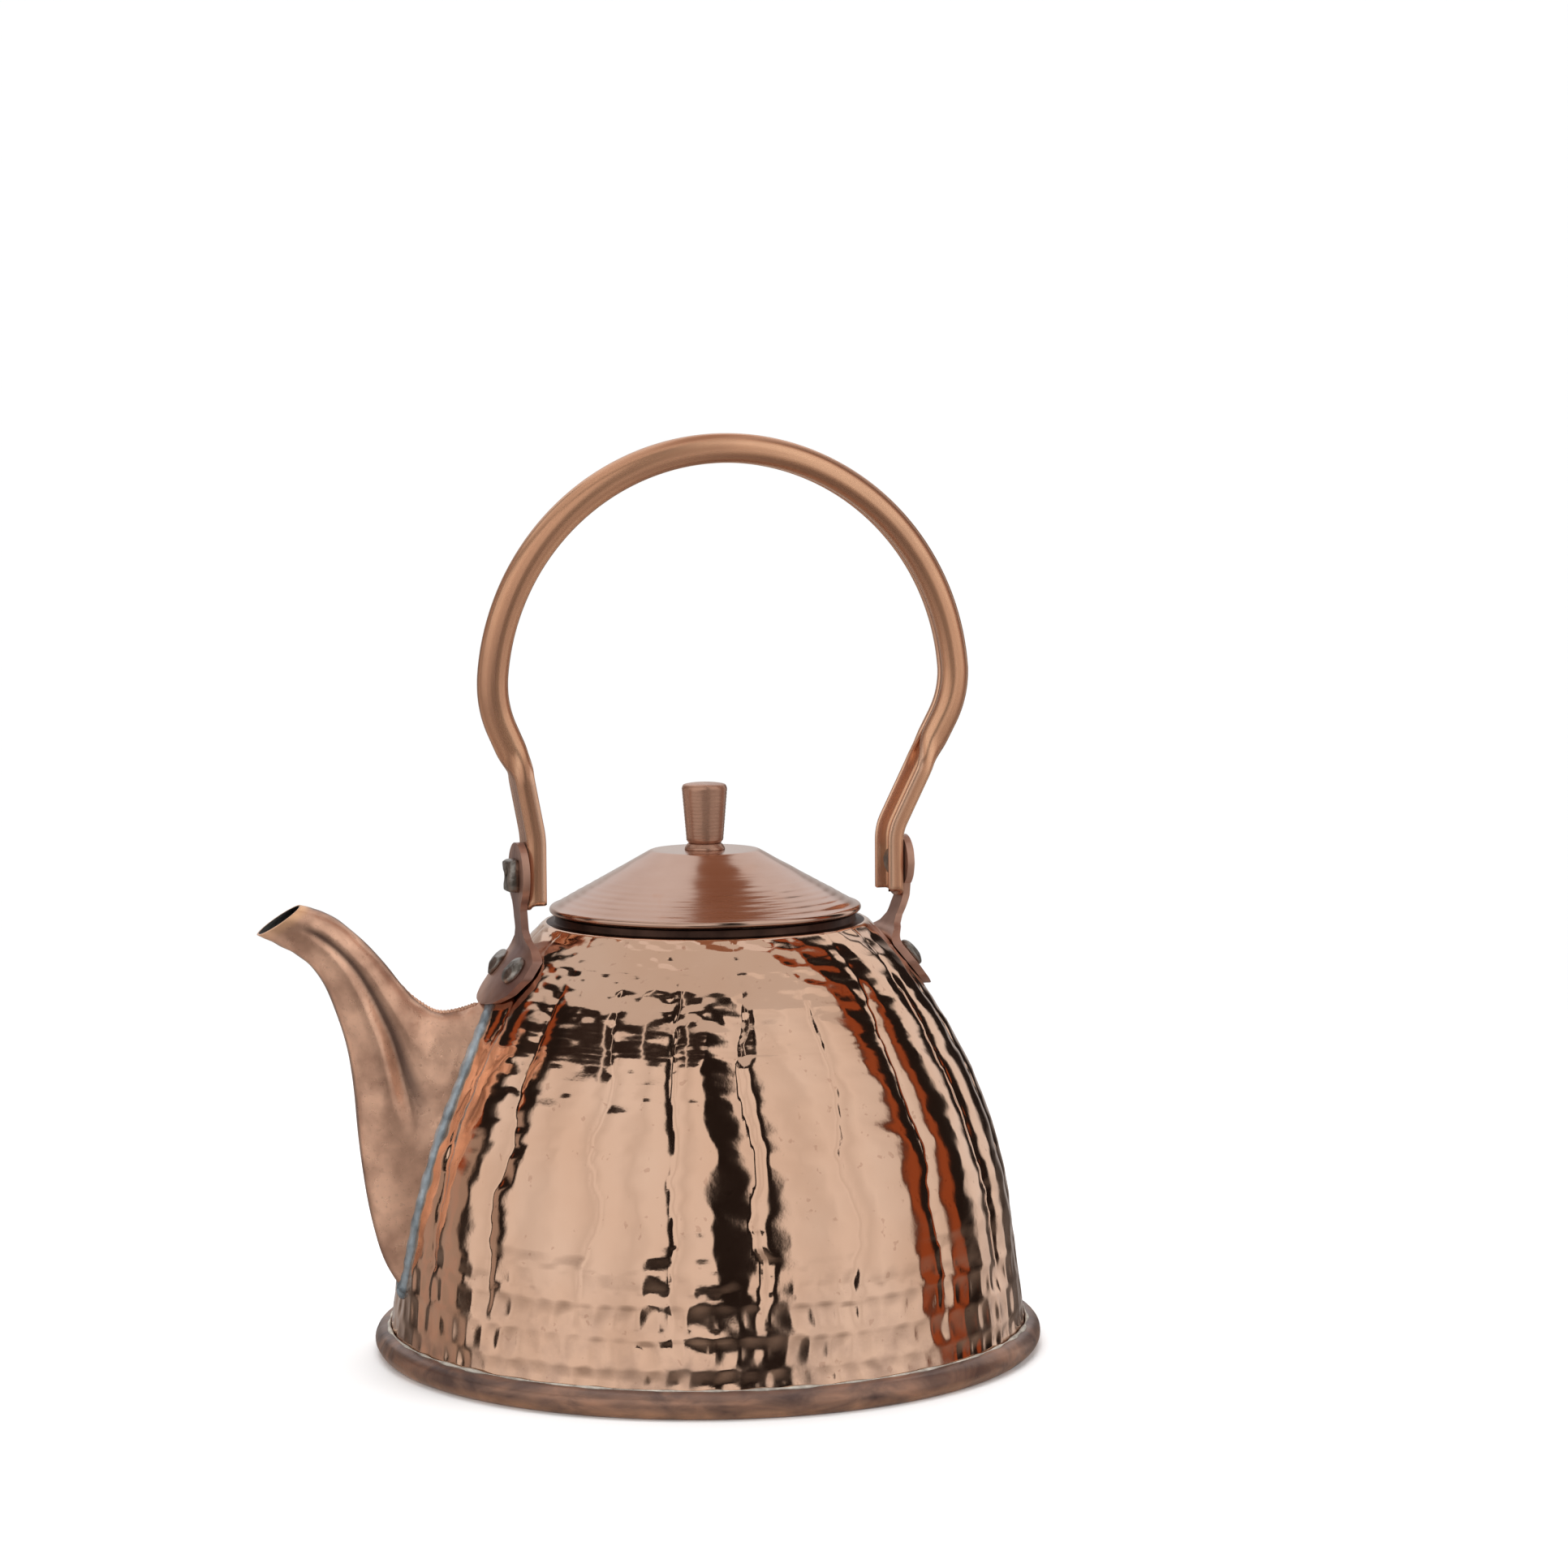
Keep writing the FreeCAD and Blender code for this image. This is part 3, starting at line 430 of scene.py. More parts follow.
# light colour, dark colour, roughness, scale of the blotches
worn_metal("rivet_metal", (0.54, 0.49, 0.44), (0.17, 0.145, 0.12), 0.36, 330)
worn_metal("solder", (0.50, 0.56, 0.60), (0.17, 0.20, 0.22), 0.42, 200, 0.7)
worn_metal("tin_lining", (0.50, 0.49, 0.47), (0.30, 0.29, 0.28), 0.36, 120)
worn_metal("pale_solder", (0.74, 0.69, 0.60), (0.30, 0.26, 0.22), 0.5, 260, 0.4)
# near-black tin for the inside of the spout: painted shade inside the tube
worn_metal("painted_shade_tin", (0.16, 0.155, 0.15), (0.06, 0.058, 0.055), 0.5, 150)


# ---------------------------------------------------------------- body
BODY_COLUMNS = 560
BODY_ROWS = 165
FLUTES = 20
FLUTE_DEPTH = 1.15
FIRST_VALLEY = -149.0
# the flutes were beaten by eye, so the valleys stand off an even spacing by a few degrees, and the crests are
# not all in the middle of their flutes or equally high; some flutes fall away nearly straight on one side
VALLEY_SHIFTS = [0, 3, 0.5, -2, -1.5, -0.5, 1, 1.2, 0.4, -0.8]
VALLEY_SHIFTS += [0.6, -1, 0.8, 0, -0.9, 1.1, -0.4, 0.5, 0.9, 0.3]
CRESTS = [0.6, 0.58, 0.42, 0.14, 0.45, 0.42, 0.5, 0.55, 0.4, 0.5]
CRESTS += [0.6, 0.45, 0.5, 0.55, 0.4, 0.5, 0.6, 0.5, 0.45, 0.5]
STRAIGHTS = [0, 0.2, 0.85, 0.5, 0, 0.2, 0, 0, 0.3, 0, 0.5, 0, 0.2, 0, 0.4, 0, 0.3, 0, 0, 0.3]
SWELLS = [0.9, 0.9, 1.2, 0.8, 0.95, 1.1, 1.1, 1, 0.8, 1, 0.9, 1.1, 1, 0.8, 1, 1.1, 0.9, 1, 1.1, 1.15]


def flute_depth(angle, height):
    """How far the wall lies inside the crest line: 0 along a crest and deepest in the valleys, which wander a
    little on their way down."""
    spacing = 360 / FLUTES
    valleys = [FIRST_VALLEY + spacing * k + VALLEY_SHIFTS[k] for k in range(FLUTES)]
    edges = np.array(valleys + [valleys[0] + 360])
    wander = 0.9 * ripple(angle, height / 26, 9, 51) + 0.35 * ripple(angle, height / 7, 9, 52)
    degrees = (np.degrees(angle) + wander - edges[0]) % 360 + edges[0]
    k = np.clip(np.searchsorted(edges, degrees, side="right") - 1, 0, FLUTES - 1)
    t = (degrees - edges[k]) / (edges[k + 1] - edges[k])
    crest = np.clip(np.array(CRESTS)[k] + 0.07 * ripple(angle, height / 16, 9, 53), 0.1, 0.9)
    t = np.where(t < crest, 0.5 * t / crest, 0.5 + 0.5 * (t - crest) / (1 - crest))
    swell = np.array(SWELLS)
    # the two flutes beside a valley share its depth, so that the wall stays whole there
    left = 0.5 * (swell[(k - 1) % FLUTES] + swell[k])
    right = 0.5 * (swell[k] + swell[(k + 1) % FLUTES])
    depth = np.where(t < 0.5, left, right)
    bowed = 1 - (4 * t * (1 - t)) ** 0.68
    straight = np.array(STRAIGHTS)[k] * (t > 0.5)
    return FLUTE_DEPTH * depth * (bowed * (1 - straight) + (2 * t - 1) * straight)


def fluted_share(height):
    """How fully the flutes are there at a height: they fade out towards the foot and the mouth."""
    return smooth_step(9, 34, height) * (1 - 0.85 * smooth_step(84, 101, height))


def hammer_marks(angle, along, radius, width, tall, depth, seed):
    """Rows of shallow bowls beaten into the wall, with a ridge left between each and the next."""
    chooser = np.random.default_rng(seed)
    wobble = 0.16 * ripple(angle, along / 18, 7, seed + 1)
    row = np.floor(along / tall + 0.10 * ripple(angle, along / 30, 5, seed + 2))
    across_row = along / tall - row
    row = row.astype(int) % 64
    counts = np.maximum(np.round(2 * math.pi * np.mean(radius, axis=1, keepdims=True) / width), 8)
    turn = angle / (2 * math.pi) * counts + chooser.uniform(0, 1, 64)[row] + wobble
    cell = np.floor(turn)
    strength = chooser.uniform(0.3, 1.0, (64, 97))[row, cell.astype(int) % 97]
    u = 2 * (turn - cell) - 1
    v = 2 * np.clip(across_row, 0, 1) - 1
    return -depth * strength * (1 - u**2) * (1 - v**2)


def wall_relief(angle, height, along):
    """How far the hammered wall stands inside the smooth outer surface, never more than 0."""
    radius = wall_radius(height)
    relief = -fluted_share(height) * flute_depth(angle, height)
    top = smooth_step(86, 90, height)
    foot = 1 - smooth_step(24, 36, height)
    middle = (1 - top) * (1 - foot)
    relief = relief + hammer_marks(angle, along, radius, 7.6, 5.4, 0.27, 11) * top
    relief = relief + hammer_marks(angle, along, radius, 10.0, 6.6, 0.17, 23) * middle
    relief = relief + hammer_marks(angle, along, radius, 5.8, 7.4, 0.42, 37) * foot
    relief = relief - 0.16 * (1 + ripple(angle, along / 14, 14, 41)) * 0.5
    rings = smooth_step(78, 80, height) * (1 - smooth_step(84, 87, height))
    relief = relief - 0.035 * rings * (1 + np.sin(along * 2 * math.pi / 1.6))
    return np.minimum(relief, 0)


def make_body():
    """The fluted, hammered wall with its neck, and the tinned inside of it."""
    angle = turns(BODY_COLUMNS) - math.pi
    foot_height = 3.6
    height = np.linspace(foot_height, MOUTH_HEIGHT - 0.25, 4000)
    radius = wall_radius(height)
    along = np.concatenate([[0], np.cumsum(np.hypot(np.diff(height), np.diff(radius)))])
    even = np.linspace(0, along[-1], BODY_ROWS)
    height = np.interp(even, along, height)[:, None] * np.ones(BODY_COLUMNS)
    along = even[:, None] * np.ones(BODY_COLUMNS)
    around = np.ones((BODY_ROWS, 1)) * angle
    relief = wall_relief(around, height, along) * smooth_step(0, 5, along)
    slope = wall_slope(height)
    reach = wall_radius(height) + relief * np.cos(slope)
    height = height + relief * np.sin(slope)
    brim = [
        (reach[-1] - 0.45, MOUTH_HEIGHT - 0.02),
        (SHOULDER_RADIUS - 0.2, MOUTH_HEIGHT),
        (NECK_RADIUS + 0.35, MOUTH_HEIGHT),
        (NECK_RADIUS + 0.05, MOUTH_HEIGHT + 0.3),
        (NECK_RADIUS, NECK_TOP - 0.35),
        (NECK_RADIUS - 0.3, NECK_TOP - 0.02),
        (NECK_INSIDE + 0.3, NECK_TOP - 0.02),
        (NECK_INSIDE, NECK_TOP - 0.35),
        (NECK_INSIDE, MOUTH_HEIGHT - WALL),
    ]
    brim = [turned(ring, up, angle)[None] for ring, up in brim]
    points = np.concatenate([turned(reach, height, around)] + brim)
    faces = grid_faces(len(points), BODY_COLUMNS)
    wall = new_piece("body_wall", points, faces, "kettle", "polished_copper", ["body_shell"])
    # the neck and the shoulder under the lid get near-black copper, painted shade for the gap under the lid
    wall.data.materials.append(MATERIALS["painted_shade_copper"])
    for polygon in wall.data.polygons:
        middle = polygon.center / MM
        if middle.z > MOUTH_HEIGHT - 0.1 and math.hypot(middle.x, middle.y) < SHOULDER_RADIUS:
            polygon.material_index = 1

    columns, rows = 420, 100
    angle = turns(columns) - math.pi
    height = np.linspace(PAN_SHEET, MOUTH_HEIGHT - WALL - 0.2, rows)[:, None] * np.ones(columns)
    around = np.ones((rows, 1)) * angle
    fluted = fluted_share(height)
    reach = wall_radius(height, -WALL + 0.1) - fluted * flute_depth(around, height) * 0.9 - 0.35 * fluted
    neck = [turned(NECK_INSIDE, up, angle)[None] for up in (MOUTH_HEIGHT - WALL, MOUTH_HEIGHT - 0.5)]
    points = np.concatenate([turned(reach, height, around)] + neck)
    faces = grid_faces(len(points), columns)
    lining = new_piece("body_lining", points, faces, "kettle", "tin_lining")
    pierce(wall)
    pierce(lining)
    make_hole_edges()


STRAINER_RADIUS = 1.9
STRAINER_HOLES = [(0.0, 36.0 + 9.0 * k) for k in range(5)]
STRAINER_HOLES += [(side * 4.6, 40.5 + 9.0 * k) for side in (-1, 1) for k in range(4)]


def pierce(piece):
    """Opens the pouring holes behind the spout: drops the faces inside each hole and rounds its edge."""
    work = bmesh.new()
    work.from_mesh(piece.data)
    for across, up in STRAINER_HOLES:
        inside = set()
        for vertex in work.verts:
            if vertex.co.x < 0 and abs(vertex.co.y / MM - across) < 4 and abs(vertex.co.z / MM - up) < 4:
                if math.hypot(vertex.co.y / MM - across, vertex.co.z / MM - up) < STRAINER_RADIUS:
                    inside.add(vertex)
        gone = [face for face in work.faces if all(vertex in inside for vertex in face.verts)]
        bmesh.ops.delete(work, geom=gone, context="FACES_ONLY")
        for vertex in inside:
            if not vertex.is_valid:
                continue
            y, z = vertex.co.y / MM - across, vertex.co.z / MM - up
            grow = STRAINER_RADIUS / max(math.hypot(y, z), 0.01)
            vertex.co.y, vertex.co.z = (across + y * grow) * MM, (up + z * grow) * MM
    loose = [vertex for vertex in work.verts if not vertex.link_faces]
    bmesh.ops.delete(work, geom=loose, context="VERTS")
    work.to_mesh(piece.data)
    work.free()


def make_hole_edges():
    """The short walls of the pouring holes, between the copper outside and the tin inside."""
    turn = turns(24)
    parts = []
    for across, up in STRAINER_HOLES:
        y, z = across + STRAINER_RADIUS * np.cos(turn), up + STRAINER_RADIUS * np.sin(turn)
        rings = []
        for depth in (0.6, 2.0):
            x = -np.sqrt((wall_radius(z) - depth) ** 2 - y**2)
            rings.append(np.stack([x, y, z], -1))
        parts.append((np.array(rings), grid_faces(2, len(turn))))
    points, faces = merged(parts)
    new_piece("hole_edges", points, faces, "kettle", "tin_lining")


# ---------------------------------------------------------------- base
def make_base():
    """The flat bottom with its rolled bead, and the chipped line of solder on the bead's crown."""
    inner_tube = BEAD_TUBE - PAN_SHEET
    profile = [(0.0001, 0.0)]
    profile += [(r, 0.0) for r in np.linspace(6, BEAD_CENTRE - 1, 14)]
    for a in np.radians(np.linspace(-90, 101, 34)):
        profile.append((BEAD_CENTRE + BEAD_TUBE * math.cos(a), BEAD_TUBE + BEAD_TUBE * math.sin(a)))
    for a in np.radians(np.linspace(106, -90, 18)):
        profile.append((BEAD_CENTRE + inner_tube * math.cos(a), BEAD_TUBE + inner_tube * math.sin(a)))
    profile += [(r, PAN_SHEET) for r in np.linspace(BEAD_CENTRE - 1, 6, 10)]
    profile.append((0.0001, PAN_SHEET))

    def dent(radius, height, angle):
        bead = smooth_step(BEAD_CENTRE - 1, BEAD_CENTRE + 1, radius)
        depth = (0.05 + 0.07 * np.clip(1 + ripple(angle, height / 3, 12, 5), 0, 2.5)) * bead
        return radius - depth * (height > 0.4), height - 0.5 * depth * (height > 5.0)

    points, faces = lathe(profile, 300, dent)
    new_piece("base_bead", points, faces, "kettle", "base_copper", ["base_pan"])

    angle = turns(900)
    chips = np.clip(0.62 + 0.42 * ripple(angle * 6, 0 * angle, 16, 9), 0.25, 1.15)
    path = turned(79.15 - 0.25 * (1 - chips), 2 * BEAD_TUBE - 0.02, angle)
    points, faces = tube(path, 0.62 * chips, 8, closed=True, flatten=0.75)
    new_piece("bead_solder", points, faces, "kettle", "pale_solder", ["base_solder_seam"])


# ---------------------------------------------------------------- spout
# each section of the spout: upper end, lower end, half width, how far its widest place lies towards the lower
# end, how pointed its ends are, and how deep its waist is between the round front and the web behind
SPOUT_SECTIONS = np.array([
    [-50.0, 90.5, -72.0, 11.0, 9.4, -0.30, 1.30, 0.00],
    [-57.0, 87.6, -78.8, 20.5, 9.3, -0.30, 1.30, 0.00],
    [-61.4, 86.2, -83.3, 31.0, 8.8, -0.20, 1.15, 0.10],
    [-66.4, 85.6, -86.8, 50.0, 7.8, 0.00, 1.00, 0.26],
    [-70.6, 87.2, -88.5, 69.0, 7.0, 0.12, 1.00, 0.30],
    [-75.1, 91.4, -91.2, 83.0, 6.4, 0.12, 1.00, 0.24],
    [-81.5, 99.6, -95.8, 94.6, 5.9, 0.10, 1.00, 0.17],
    [-89.7, 107.8, -100.8, 100.4, 5.3, 0.05, 1.00, 0.12],
    [-95.6, 111.5, -105.9, 103.5, 5.0, 0.00, 1.00, 0.05],
    [-100.6, 113.1, -111.1, 106.3, 4.7, 0.00, 1.00, 0.00],
])
WAIST_PLACE = 0.52
WAIST_WIDTH = 0.11
SPOUT_SHEET = 1.0


def spout_skin(u, angle, inset=0.0):
    """Points of the spout's skin. u runs from 0 in the wall to 9 at the mouth, angle once round a section."""
    knots = np.arange(len(SPOUT_SECTIONS))
    shape = spline(knots, SPOUT_SECTIONS, np.ravel(u)).reshape(np.shape(u) + (8,))
    top, low = shape[..., 0:2], shape[..., 2:4]
    chord = top - low
    length = np.linalg.norm(chord, axis=-1, keepdims=True)
    along = chord / length
    share = (1 - np.cos(angle)) / 2
    inset = np.broadcast_to(np.asarray(inset, dtype=float), length.shape)
    start = low + along * inset
    place = start + along * (length - 2 * inset) * share[..., None]
    swing = np.abs(np.sin(angle)) ** shape[..., 6] * (1 + shape[..., 5] * np.cos(angle))
    waist = 1 - shape[..., 7] * np.exp(-(((share - WAIST_PLACE) / WAIST_WIDTH) ** 2))
    side = np.sign(np.sin(angle)) * swing * waist * (shape[..., 4] - inset[..., 0])
    return np.stack([place[..., 0], side, place[..., 1]], -1)


def spout_foot_line(count):
    """The closed line where the spout's skin meets the wall."""
    angle = turns(count)
    low = np.zeros(count)
    high = np.full(count, 3.5)
    for _ in range(30):
        middle = (low + high) / 2
        point = spout_skin(middle, angle)
        outside = np.hypot(point[:, 0], point[:, 1]) > wall_radius(point[:, 2])
        high = np.where(outside, middle, high)
        low = np.where(outside, low, middle)
    return spout_skin(high, angle)


def shade_spout(piece, outer, outer_u, around):
    """Paints shade into the crease between the spout's round front and its web, and darkens the lines along
    its back and front.
    Paints a highlight along the lip, brightest at its upper edge. The inside gets near-black tin, painted
    shade inside the tube."""
    share = (1 - np.cos(around)) / 2
    # painted shade along the crease between the round front and the web
    crease = np.exp(-(((share - WAIST_PLACE - 0.03) / 0.07) ** 2))
    crease = crease * smooth_step(1.6, 3.2, outer_u) * (1 - smooth_step(7.4, 8.6, outer_u))
    # dark lines along the back and the front edge
    edges = 0.8 * np.exp(-(((share - 1) / 0.02) ** 2)) * smooth_step(1.5, 3, outer_u)
    edges = edges + 0.55 * np.exp(-((share / 0.012) ** 2)) * (1 - smooth_step(8.2, 8.8, outer_u))
    crease_shade_and_edge_lines = np.clip(0.95 * crease + edges, 0, 1).ravel()
    # painted highlight along the lip, brightest towards the upper edge
    wear_and_painted_highlight = (smooth_step(8.35, 8.9, outer_u) * (0.35 + 0.65 * share)).ravel()
    tree = KDTree(len(crease_shade_and_edge_lines))
    for index, point in enumerate(outer.reshape(-1, 3) * MM):
        tree.insert(point, index)
    tree.balance()
    layer = piece.data.attributes.new("crease_shade_and_edge_lines", "FLOAT", "POINT")
    lip_layer = piece.data.attributes.new("wear_and_painted_highlight", "FLOAT", "POINT")
    inside = np.zeros(len(piece.data.vertices), dtype=bool)
    for vertex in piece.data.vertices:
        _, index, distance = tree.find(vertex.co)
        near = distance < 0.3 * MM
        layer.data[vertex.index].value = float(crease_shade_and_edge_lines[index]) if near else 0.0
        lip_layer.data[vertex.index].value = float(wear_and_painted_highlight[index]) if near else 0.0
        inside[vertex.index] = not near
    for polygon in piece.data.polygons:
        if all(inside[index] for index in polygon.vertices):
            polygon.material_index = 1


def make_spout():
    """The hollow spout, the solder round its foot and the hammered braze along its back."""
    rows, columns = 150, 96
    angle = turns(columns)
    outer_u = np.linspace(0.25, 9, rows)[:, None] * np.ones(columns)
    around = np.ones((rows, 1)) * angle
    outer = spout_skin(outer_u, around)
    dents = 0.10 * (ripple(around, outer_u * 0.9, 14, 61) - 1) * smooth_step(0, 0.5, 9 - outer_u)
    centre = outer.mean(axis=1, keepdims=True)
    inward = outer - centre
    inward /= np.linalg.norm(inward, axis=-1, keepdims=True)
    outer = outer + inward * dents[..., None] * 0.6
    lip_u = np.full(columns, 9.0)
    lip = [spout_skin(lip_u, angle, inset) for inset in (0.15, 0.45)]
    inner_rows = 60
    inner_u = np.linspace(8.97, 0.6, inner_rows)[:, None] * np.ones(columns)
    thin = 1 - 0.45 * smooth_step(7.5, 9, inner_u)[..., None]
    inner = spout_skin(inner_u, np.ones((inner_rows, 1)) * angle, SPOUT_SHEET * thin)
    points = np.concatenate([outer, *[ring[None] for ring in lip], inner])
    faces = grid_faces(len(points), columns)
    piece = new_piece("spout_tube", points, faces, "kettle", "spout_copper", ["spout_shell"])
    # the inside of the spout gets near-black tin, painted shade inside the tube
    piece.data.materials.append(MATERIALS["painted_shade_tin"])
    shade_spout(piece, outer, outer_u, around)
    count = 400
    line = spout_foot_line(count)
    azimuth = np.arctan2(line[:, 1], line[:, 0])
    slope = wall_slope(line[:, 2])
    normal = np.stack([np.cos(azimuth) * np.cos(slope), np.sin(azimuth) * np.cos(slope), np.sin(slope)], -1)
    turn = turns(count)
    lumps = 1.75 + 0.25 * ripple(turn * 4, 0 * turn, 12, 71)
    lumps = lumps + 0.7 * (1 - smooth_step(15, 26, line[:, 2]))
    path = line - normal * 0.35
    points, faces = tube(path, lumps, 12, closed=True, flatten=0.75, normal=normal)
    new_piece("foot_solder", points, faces, "kettle", "solder", ["spout_solder_seam"])

    count = 160
    step = np.arange(count)
    back = spout_skin(np.linspace(1.0, 5.2, count), np.full(count, math.pi))
    lift = np.array([0.3, 0.0, 0.95])
    nicks = 0.62 + 0.10 * np.sin(step * 0.9) + 0.08 * ripple(step * 0.2, np.zeros(count), 6, 73)
    taper = smooth_step(0, 12, step) * (1 - smooth_step(120, count - 1, step))
    points, faces = tube(back - lift * 0.12, nicks * (0.25 + 0.75 * taper), 10, flatten=0.9, normal=lift)
    new_piece("back_braze", points, faces, "kettle", "spout_copper", ["spout_back_braze"])


# ---------------------------------------------------------------- lid
LID_RIM_RADIUS = 38.4
LID_RIM_TUBE = 0.9
LID_RIM_BOTTOM = 107.7
LID_TOP_RADIUS = 13.3
LID_TOP = 122.9
LID_SHEET = 1.0
LID_FALL = (LID_TOP - LID_RIM_BOTTOM - 2 * LID_RIM_TUBE) / (LID_RIM_RADIUS - LID_RIM_TUBE - LID_TOP_RADIUS)
COLLAR_RADIUS = 35.5
COLLAR_SHEET = 0.9
COLLAR_BOTTOM = 102.5


def make_lid():
    """The spun cone with its turned rings and rolled rim, its collar and the solder between them."""
    rim_centre = LID_RIM_RADIUS - LID_RIM_TUBE
    chooser = np.random.default_rng(3)
    profile = [(0.0001, LID_TOP)]
    profile += [(r, LID_TOP - 0.02) for r in np.linspace(3, LID_TOP_RADIUS - 0.5, 8)]
    profile.append((LID_TOP_RADIUS - 0.1, LID_TOP - 0.05))
    radii = np.arange(LID_TOP_RADIUS + 0.4, rim_centre, 0.28)
    grooves = 0.016 * chooser.random(len(radii)) * smooth_step(14, 24, radii)
    grooves = grooves + 0.045 * (np.sin(radii * 2 * math.pi / 1.9) + 1) * smooth_step(22, 32, radii)
    profile += [(r, LID_TOP - (r - LID_TOP_RADIUS) * LID_FALL - g) for r, g in zip(radii, grooves)]
    for a in np.radians(np.linspace(75, -180, 16)):
        up = LID_RIM_BOTTOM + LID_RIM_TUBE * (1 + math.sin(a))
        profile.append((rim_centre + LID_RIM_TUBE * math.cos(a), up))
    under = math.sqrt(1 + LID_FALL**2) * LID_SHEET
    for r in np.linspace(rim_centre - LID_RIM_TUBE - 0.1, LID_TOP_RADIUS - 0.2, 12):
        profile.append((r, LID_TOP - (r - LID_TOP_RADIUS) * LID_FALL - under))
    profile.append((0.0001, LID_TOP - LID_SHEET))

    def dent(radius, height, angle):
        return radius, height - 0.05 * (1 + ripple(angle, radius / 8, 9, 17)) * smooth_step(12, 20, radius)

    points, faces = lathe(profile, 240, dent)
    new_piece("lid_cone", points, faces, "lid", "spun_copper", ["lid_shell"])

    inner = COLLAR_RADIUS - COLLAR_SHEET
    top = LID_TOP - (inner - LID_TOP_RADIUS) * LID_FALL - under
    outer_top = LID_TOP - (COLLAR_RADIUS - LID_TOP_RADIUS) * LID_FALL - under
    corners = [
        (inner, COLLAR_BOTTOM, 0.3),
        (inner, top, 0),
        (COLLAR_RADIUS, outer_top, 0),
        (COLLAR_RADIUS, COLLAR_BOTTOM, 0.3),
    ]
    points, faces = lathe(divided(rounded(corners), 1.5), 200)
    new_piece("collar_ring", points, faces, "lid", "spun_copper", ["lid_collar"])

    angle = turns(500)
    lumps = 0.62 + 0.12 * ripple(angle * 5, 0 * angle, 12, 19)
    points, faces = tube(turned(inner - 0.3, top - 0.35, angle), lumps, 8, closed=True)
    new_piece("collar_solder", points, faces, "lid", "solder", ["lid_collar_solder"])


KNOB_WASHER = 1.5
KNOB_LENGTH = 14.9
KNOB_TENON = 1.9
BACKING_WASHER = 0.8


def make_knob():
    """The turned knob with its peened tenon, the conical washer below it and the washer under the lid."""
    foot = LID_TOP + KNOB_WASHER
    top = foot + KNOB_LENGTH
    sheet_top = LID_TOP - LID_SHEET
    under = sheet_top - BACKING_WASHER
    corners = [
        (0.0001, under - 1.2, 0),
        (2.2, under - 1.2, 0.5),
        (3.0, under, 0.1),
        (KNOB_TENON, under, 0),
        (KNOB_TENON, foot, 0),
        (3.9, foot, 0.2),
        (4.6, foot + 0.9, 0.4),
        (5.65, top - 1.4, 0.5),
        (5.2, top - 0.35, 0.45),
        (3.2, top, 0.6),
        (0.0001, top, 0),
    ]

    def turn_lines(radius, height, angle):
        upright = (height > foot + 1) & (height < top - 1.6)
        line = 0.035 * (1 + np.sin(height * 2 * math.pi / 0.9)) * upright
        return np.maximum(radius - line - 0.04 * upright * (1 + np.sin(3 * angle)), 0.0001), height

    points, faces = lathe(divided(rounded(corners), 0.35), 96, turn_lines)
    new_piece("knob", points, faces, "lid", "knob_copper", ["lid_knob"])
    cone = [(5.0, LID_TOP, 0.1), (4.9, LID_TOP + 0.5, 0.2), (4.2, foot, 0.25), (KNOB_TENON, foot, 0)]
    flat = [(5.5, under, 0.2), (5.5, sheet_top, 0), (KNOB_TENON, sheet_top, 0)]
    for name, node, low, corners in (
        ("foot_washer", "knob_washer", LID_TOP, cone),
        ("backing_washer", "knob_backing_washer", under, flat),
    ):
        points, faces = lathe(rounded([(KNOB_TENON, low, 0)] + corners), 72)
        new_piece(name, points, faces, "lid", "knob_copper", [node])


# ---------------------------------------------------------------- handle
BAIL_SHEET = 1.1
BAIL_CENTRE = 6.0
BAIL_HEIGHT = 162.0
BAIL_RADIUS = 59.25
HOOP_FOOT = math.radians(4.0)
BAIL_DEPTH = 7.3
BAIL_WIDTH = 8.0
LEG_DEPTH = 4.5
LEG_WIDTH = 11.5
SPOUT_LEG = 43.5
BACK_LEG = 48.05
LEG_END = 109.6
LEG_ROUND = 8.6
SPOUT_LEG_BENDS = [(0.0, 127.5, 25.0), (-3.1, 144.0, 12.0), (-9.75, 159.0, 26.0)]
BACK_LEG_BENDS = [(0.0, 126.2, 12.0), (8.5, 143.2, 12.0), (17.2, 159.5, 24.0)]
OPENING_HEIGHT = 145.0
OPENING_SPAN = 4.5
EDGE_ANGLES = np.radians([-50, 0, 50])


def bent_path(points):
    """Straight runs joined by tangent arcs through (x, z, radius) corners, as closely spaced points."""
    path = [np.array(points[0][:2], dtype=float)]
    for before, corner, after in zip(points, points[1:], points[2:]):
        here = np.array(corner[:2], dtype=float)
        back = np.array(before[:2]) - here
        ahead = np.array(after[:2]) - here
        back, ahead = back / np.linalg.norm(back), ahead / np.linalg.norm(ahead)
        half_turn = (math.pi - math.acos(np.clip(back @ ahead, -1, 1))) / 2
        run = corner[2] * math.tan(half_turn)
        centre = here + (back + ahead) / np.linalg.norm(back + ahead) * corner[2] / math.cos(half_turn)
        start, stop = here + back * run - centre, here + ahead * run - centre
        for t in np.linspace(0, 1, 9):
            point = start * (1 - t) + stop * t
            path.append(centre + point / np.linalg.norm(point) * corner[2])
    path.append(np.array(points[-1][:2], dtype=float))
    return path


